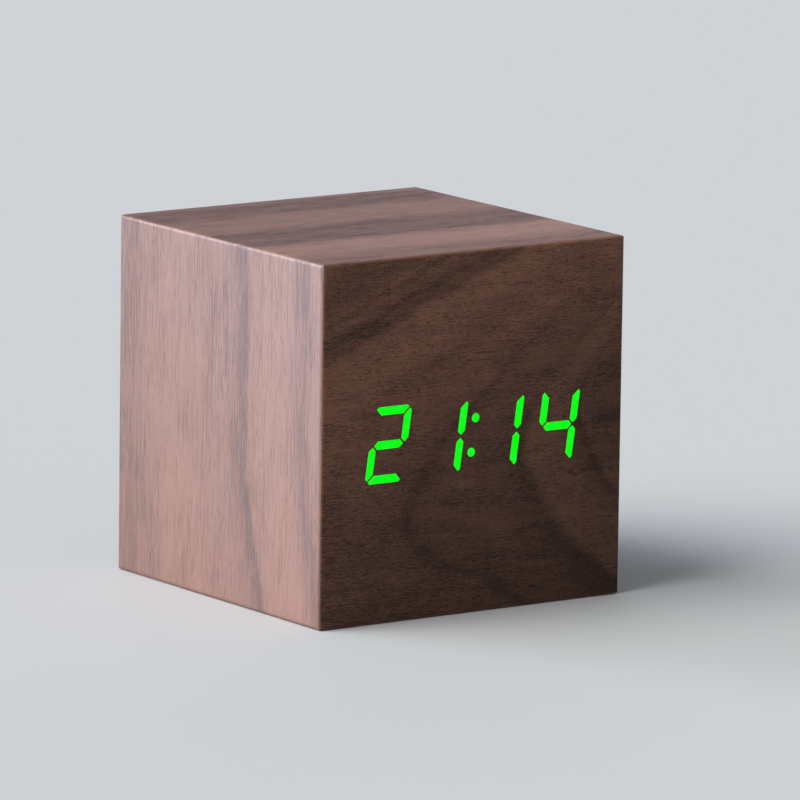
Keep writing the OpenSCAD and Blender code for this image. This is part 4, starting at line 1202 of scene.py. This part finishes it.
arrow_middle = Vector((0.0, cover_face + (ARROW_RISE - ARROW_SUNK) / 2, latch_foot - ARROW_BELOW))
arrow_reach = ARROW_WIDTH / 2 * TRIANGLE_WIDENING
arrow_depth = ARROW_RISE + ARROW_SUNK
arrow_up = ARROW_HEIGHT * MIDDLE_TO_TIP
arrow = prism(3, arrow_reach, arrow_up, arrow_depth, arrow_middle, UPSIDE_DOWN, ARROW_ROUND)
settle(arrow, "door_arrow", cover_plastic, "battery_lid", "cover_plastic")

latch_floor_y = cover_face - DOOR_WALL + LATCH_FLOOR[1] / 2
latch_floor_z = latch_foot - LATCH_FLOOR_SUNK + LATCH_FLOOR[2] / 2
latch_floor = rounded_box((0.0, latch_floor_y, latch_floor_z), LATCH_FLOOR, LATCH_FLOOR_ROUND)
settle(latch_floor, "door_latch_floor", cover_plastic, "battery_lid", "cover_plastic")
print("Arrow and floor by a latch whose foot is at", round(latch_foot, 2), "mm")

# %% [markdown]
# ## Shape of a cell
# Three AAA cells lie in the bay. A cell is a steel can in a printed jacket that grips its ends. A cylinder
# is inset and extruded: one end gets the jacket's lip, the washer and the nub, the other the flat base.

# %% Shape of a cell
CELL_RADIUS = 5.2
CELL_LENGTH = 44.5
NUB_RADIUS = 1.9
NUB_LENGTH = 1.2
BASE_STEP = 0.25
LIP = 0.55
LIP_DEPTH = 0.35
CELL_ROUND = 0.16
body_length = CELL_LENGTH - NUB_LENGTH - BASE_STEP


def stepped(piece, way, *steps):
    """Insets and extrudes the end of a cell that faces one way. A step is a width and a height."""
    pick_faces(piece, lambda point, normal: normal.z * way > OUTWARD)
    for width, height in steps:
        bpy.ops.mesh.inset(thickness=width * MM)
        bpy.ops.mesh.extrude_region_move(TRANSFORM_OT_translate={"value": (0.0, 0.0, height * MM)})
    object_mode()


bpy.ops.mesh.primitive_cylinder_add(
    vertices=64, radius=CELL_RADIUS * MM, depth=body_length * MM,
    location=(0.0, 0.0, (BASE_STEP + body_length / 2) * MM),
)
pattern_cell = bpy.context.object
fix_place()
stepped(pattern_cell, 1, (LIP, -LIP_DEPTH), (CELL_RADIUS - LIP - NUB_RADIUS, LIP_DEPTH + NUB_LENGTH))
stepped(pattern_cell, -1, (LIP, -BASE_STEP))
rounded(CELL_ROUND)
print("A cell of", len(pattern_cell.data.polygons), "faces")

# %% [markdown]
# ## Cells in the bay
# A jacket is printed foil in plain bands, counted from the nub. The cells lie along X and the middle one
# points the other way, so each way has a jacket of its own. Faces at the ends and inside the lip are bare
# steel.

# %% Cells in the bay
CELL_WAYS = {1: -1, 2: 1, 3: -1}
END_MARGIN = 0.2
BAND_SPREAD = 50.0
SILVER = (0.52, 0.54, 0.54)
DARK_BAND = (0.03, 0.06, 0.07)
THIN_BAND = (0.50, 0.52, 0.52)
JACKET_BANDS = [
    (0.0, SILVER), (12.0, SILVER), (12.1, DARK_BAND), (13.3, DARK_BAND), (13.4, THIN_BAND),
    (14.2, THIN_BAND), (14.3, (0.06, 0.15, 0.17)), (49.0, (0.05, 0.13, 0.15)),
]
SCUFF_TONE = (0.5, 0.5, 0.5)
SCUFF_SIZE = 1.2
SCUFF_SPAN = (0.55, 0.75, 0.0, 0.12)
SCUFF_DEPTH = 0.004
JACKET_GLOSS = (0.22, 0.38)
nub_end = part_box("aaa_cell_2")[1].x / MM
steel_reach = CELL_RADIUS - LIP + END_MARGIN
washer_level = BASE_STEP + body_length - LIP_DEPTH - END_MARGIN


def jacket(name, way):
    """Printed foil in bands, on a cell whose nub points along X one way or the other."""
    finish = new_finish(name, {"IOR": 1.5, "Metallic": 0.35})
    tone = bands(nub_end - millimetres()["X"] * way, BAND_SPREAD, JACKET_BANDS)
    scuffs = speckle(SCUFF_SIZE, 101.0, detail=4.0)
    give("Base Color", mix(rescale(scuffs, *SCUFF_SPAN), tone, SCUFF_TONE))
    rough_by(scuffs, *JACKET_GLOSS)
    relief(scuffs, SCUFF_DEPTH)
    return finish


def is_steel(middle):
    """Whether the middle of a face is on a bare end of the upright cell."""
    at_end = middle.z < BASE_STEP or middle.z > washer_level
    return at_end and math.hypot(middle.x, middle.y) < steel_reach


jackets = {1: jacket("cell_jacket_right", 1.0), -1: jacket("cell_jacket_left", -1.0)}
for number, way in CELL_WAYS.items():
    cell_node = f"aaa_cell_{number}"
    cell = copy_of(pattern_cell.data)
    cell.data.materials.append(jackets[way])
    cell.data.materials.append(nickel)
    for face in cell.data.polygons:
        face.material_index = 1 if is_steel(face.center / MM) else 0
    low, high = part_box(cell_node)
    cell.location = (low.x if way > 0 else high.x, (low.y + high.y) / 2, (low.z + high.z) / 2)
    cell.rotation_euler = (0.0, way * math.pi / 2, 0.0)
    settle(cell, cell_node + "_detailed", None, "case", "cell_jacket", cell_node)
bpy.data.objects.remove(pattern_cell)
print("Cells laid:", len(CELL_WAYS))

# %% [markdown]
# ## Contact springs
# Springs, leads and ribbon are round wire: a curve through points is given a thickness and closed ends, and
# made a mesh. A spring's wire lies flat on its plate, climbs while its radius shrinks, and lies flat again
# at the cell. The three are joined, as the CAD node has them.

# %% Contact springs
WIRE_STEPS = 5
SPRING_LENGTH = 4.6
SPRING_WIRE = 0.6
SPRING_TURNS = 3.5
SPRING_FLAT = 0.2
SPRING_WIDE = 7.0
SPRING_NARROW = 5.0
POINTS_PER_TURN = 24


def wire(points, thickness):
    """A round wire through points in millimetres, as a mesh with closed ends."""
    bpy.ops.curve.primitive_nurbs_path_add()
    made = bpy.context.object
    made.data.splines.clear()
    spline = made.data.splines.new("POLY")
    spline.points.add(len(points) - 1)
    for place, point in zip(spline.points, points):
        place.co = (*(Vector(point) * MM), 1.0)
    made.data.bevel_depth = thickness / 2 * MM
    made.data.bevel_resolution = WIRE_STEPS
    made.data.use_fill_caps = True
    only(made)
    bpy.ops.object.convert(target="MESH")
    return bpy.context.object


def spring_points(way):
    """Points of one spring from its plate towards its cell, along X one way or the other."""
    count = int(SPRING_TURNS * POINTS_PER_TURN)
    points = []
    for step in range(count + 1):
        turn = SPRING_TURNS * step / count
        climb = min(1.0, max(0.0, (turn - SPRING_FLAT) / (SPRING_TURNS - 2 * SPRING_FLAT)))
        width = SPRING_WIDE + (SPRING_NARROW - SPRING_WIDE) * turn / SPRING_TURNS
        radius = (width - SPRING_WIRE) / 2
        along = SPRING_WIRE / 2 + (SPRING_LENGTH - SPRING_WIRE) * climb
        angle = 2 * math.pi * turn
        points.append((way * along, way * radius * math.cos(angle), radius * math.sin(angle)))
    return points


springs = []
spring_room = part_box("battery_springs")
for number, way in CELL_WAYS.items():
    cell_middle = middle_of(f"aaa_cell_{number}")
    spring = wire(spring_points(way), SPRING_WIRE)
    plate = spring_room[0].x if way > 0 else spring_room[1].x
    spring.location = (plate, cell_middle.y * MM, cell_middle.z * MM)
    springs.append(spring)
settle(joined(*springs), "contact_springs", nickel, "case", "nickel", "battery_springs")
print("Springs with", SPRING_TURNS, "turns of", SPRING_WIRE, "mm wire")

# %% [markdown]
# ## Battery leads
# Two soft leads run from the bay to the main board. Each follows its CAD route, whose points are offsets
# from the pads that it joins. Straight stretches would show as kinks, so a curve is bent through the
# points.

# %% Battery leads
LEAD = 1.0
CURVE_STEPS = 8
LEAD_GLOSS = (0.32, 0.50)
LEAD_GRAIN = 0.6
LEAD_GRAIN_DEPTH = 0.004
RED_FROM = Vector((-24.3, 21.2, 41.1))
RED_TO = Vector((-10.5, 20.6, 46.4))
BLACK_FROM = Vector((24.95, 22.0, 13.0))
BLACK_TURN = Vector((24.95, 22.0, 42.2))
BLACK_TO = Vector((7.85, 20.6, 45.3))
RED_OUT = [(0, 0, 0), (0, 0, 1.5), (0.1, -0.1, 3.1), (0.9, -0.8, 4.5), (2.9, -2.2, 5.3)]
RED_IN = [(-6.6, -3, 0.4), (-3.6, -3.4, 0.4), (-1.2, -2.8, 0.2), (0, -1.4, 0), (0, 0, 0)]
BLACK_OUT = [(0, 0, 0), (1.25, 0, 0), (2.05, 0, 0.4), (2.35, 0, 1.6), (2.35, 0, 7), (2.35, 0, 13)]
BLACK_UP = [(2.35, 0, -10), (2.35, 0, -4), (2.15, -0.4, 0), (1.45, -1.2, 2.4), (-0.55, -2.6, 3.6)]
BLACK_IN = [
    (14.6, -2.8, 0.7), (10.2, -3.4, 0.1), (5.2, -3.4, -0.5), (1.6, -2.8, -0.4), (0, -1.4, 0), (0, 0, 0),
]
RED_ROUTE = [(RED_FROM, RED_OUT), (RED_TO, RED_IN)]
BLACK_ROUTE = [(BLACK_FROM, BLACK_OUT), (BLACK_TURN, BLACK_UP), (BLACK_TO, BLACK_IN)]
LEADS = {"lead_red": (RED_ROUTE, (0.55, 0.02, 0.02)), "lead_black": (BLACK_ROUTE, (0.02, 0.02, 0.02))}


def smoothed(points):
    """Points along a smooth curve, with the pull at each point set by its neighbours."""
    ends = [2 * points[0] - points[1], *points, 2 * points[-1] - points[-2]]
    curve = []
    for before, start, stop, after in zip(ends, ends[1:], ends[2:], ends[3:]):
        reach = (stop - start).length / 3
        pull_out = (stop - before).normalized() * reach
        pull_in = (after - start).normalized() * reach
        curve += interpolate_bezier(start, start + pull_out, stop - pull_in, stop, CURVE_STEPS + 1)[:-1]
    return [*curve, points[-1]]


for slot, (stretches, tone) in LEADS.items():
    points = [anchor + Vector(offset) for anchor, offsets in stretches for offset in offsets]
    insulation = moulded(slot, tone, LEAD_GLOSS, LEAD_GRAIN, LEAD_GRAIN_DEPTH)
    settle(wire(smoothed(points), LEAD), slot + "_wire", insulation, "case", slot, "battery_" + slot)
    print(slot, "through", len(points), "points")

# %% [markdown]
# ## Ribbon cable
# A grey ribbon joins the boards: ten wires side by side in one web. One rib is a wire along the ribbon's
# curve, a little wider than its pitch, and an Array modifier repeats it. The first rib is red, to mark wire
# one.

# %% Ribbon cable
RIBS = 10
RIB_PITCH = 1.27
RIB_WIDENING = 1.44
RIB_BLUR = 0.02
RIBBON_THICKNESS = 0.9
RIBBON_PULL = Vector((0.0, 15.0, 0.0))
RIBBON_STEPS = 32
RIBBON_LINES = (12.0, 0.4, 111.0)
RIBBON_GLOSS = (0.35, 0.50)
RIBBON_TONES = ((0.48, 0.48, 0.49), (0.60, 0.60, 0.61))
FIRST_RIB_TONE = (0.50, 0.03, 0.03)

ribbon_low, ribbon_high = (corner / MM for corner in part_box("display_ribbon"))
ribbon_start = Vector((0.0, ribbon_low.y, ribbon_low.z + RIBBON_THICKNESS / 2))
ribbon_stop = Vector((0.0, ribbon_high.y, ribbon_high.z - RIBBON_THICKNESS / 2))
ribbon_points = interpolate_bezier(
    ribbon_start, ribbon_start + RIBBON_PULL, ribbon_stop - RIBBON_PULL, ribbon_stop, RIBBON_STEPS + 1,
)
ribbon = wire(ribbon_points, RIBBON_THICKNESS)
ribbon.scale.x = RIB_WIDENING
ribbon.location.x = -(RIBS - 1) / 2 * RIB_PITCH * MM
fix_place()
bpy.ops.object.modifier_add(type="ARRAY")
row_of_ribs = ribbon.modifiers[0]
row_of_ribs.count = RIBS
row_of_ribs.use_relative_offset = False
row_of_ribs.use_constant_offset = True
row_of_ribs.constant_offset_displace = (RIB_PITCH * MM, 0.0, 0.0)
bpy.ops.object.modifier_apply(modifier=row_of_ribs.name)

first_edge = -(RIBS / 2 - 1) * RIB_PITCH
ribbon_finish = new_finish("ribbon_grey", {"IOR": 1.5})
ribbon_place = millimetres()
first_rib = rescale(ribbon_place["X"], first_edge - RIB_BLUR, first_edge + RIB_BLUR, 1.0, 0.0)
ribbon_noise = streaks(ribbon_place["Y"], ribbon_place["X"], *RIBBON_LINES, detail=2.0)
give("Base Color", mix(first_rib, between(ribbon_noise, *RIBBON_TONES), FIRST_RIB_TONE))
rough_by(ribbon_noise, *RIBBON_GLOSS)
settle(ribbon, "ribbon_cable", ribbon_finish, "case", "ribbon_grey", "display_ribbon")
print("Ribbon of", RIBS, "ribs, the first up to", round(first_edge, 2), "mm")
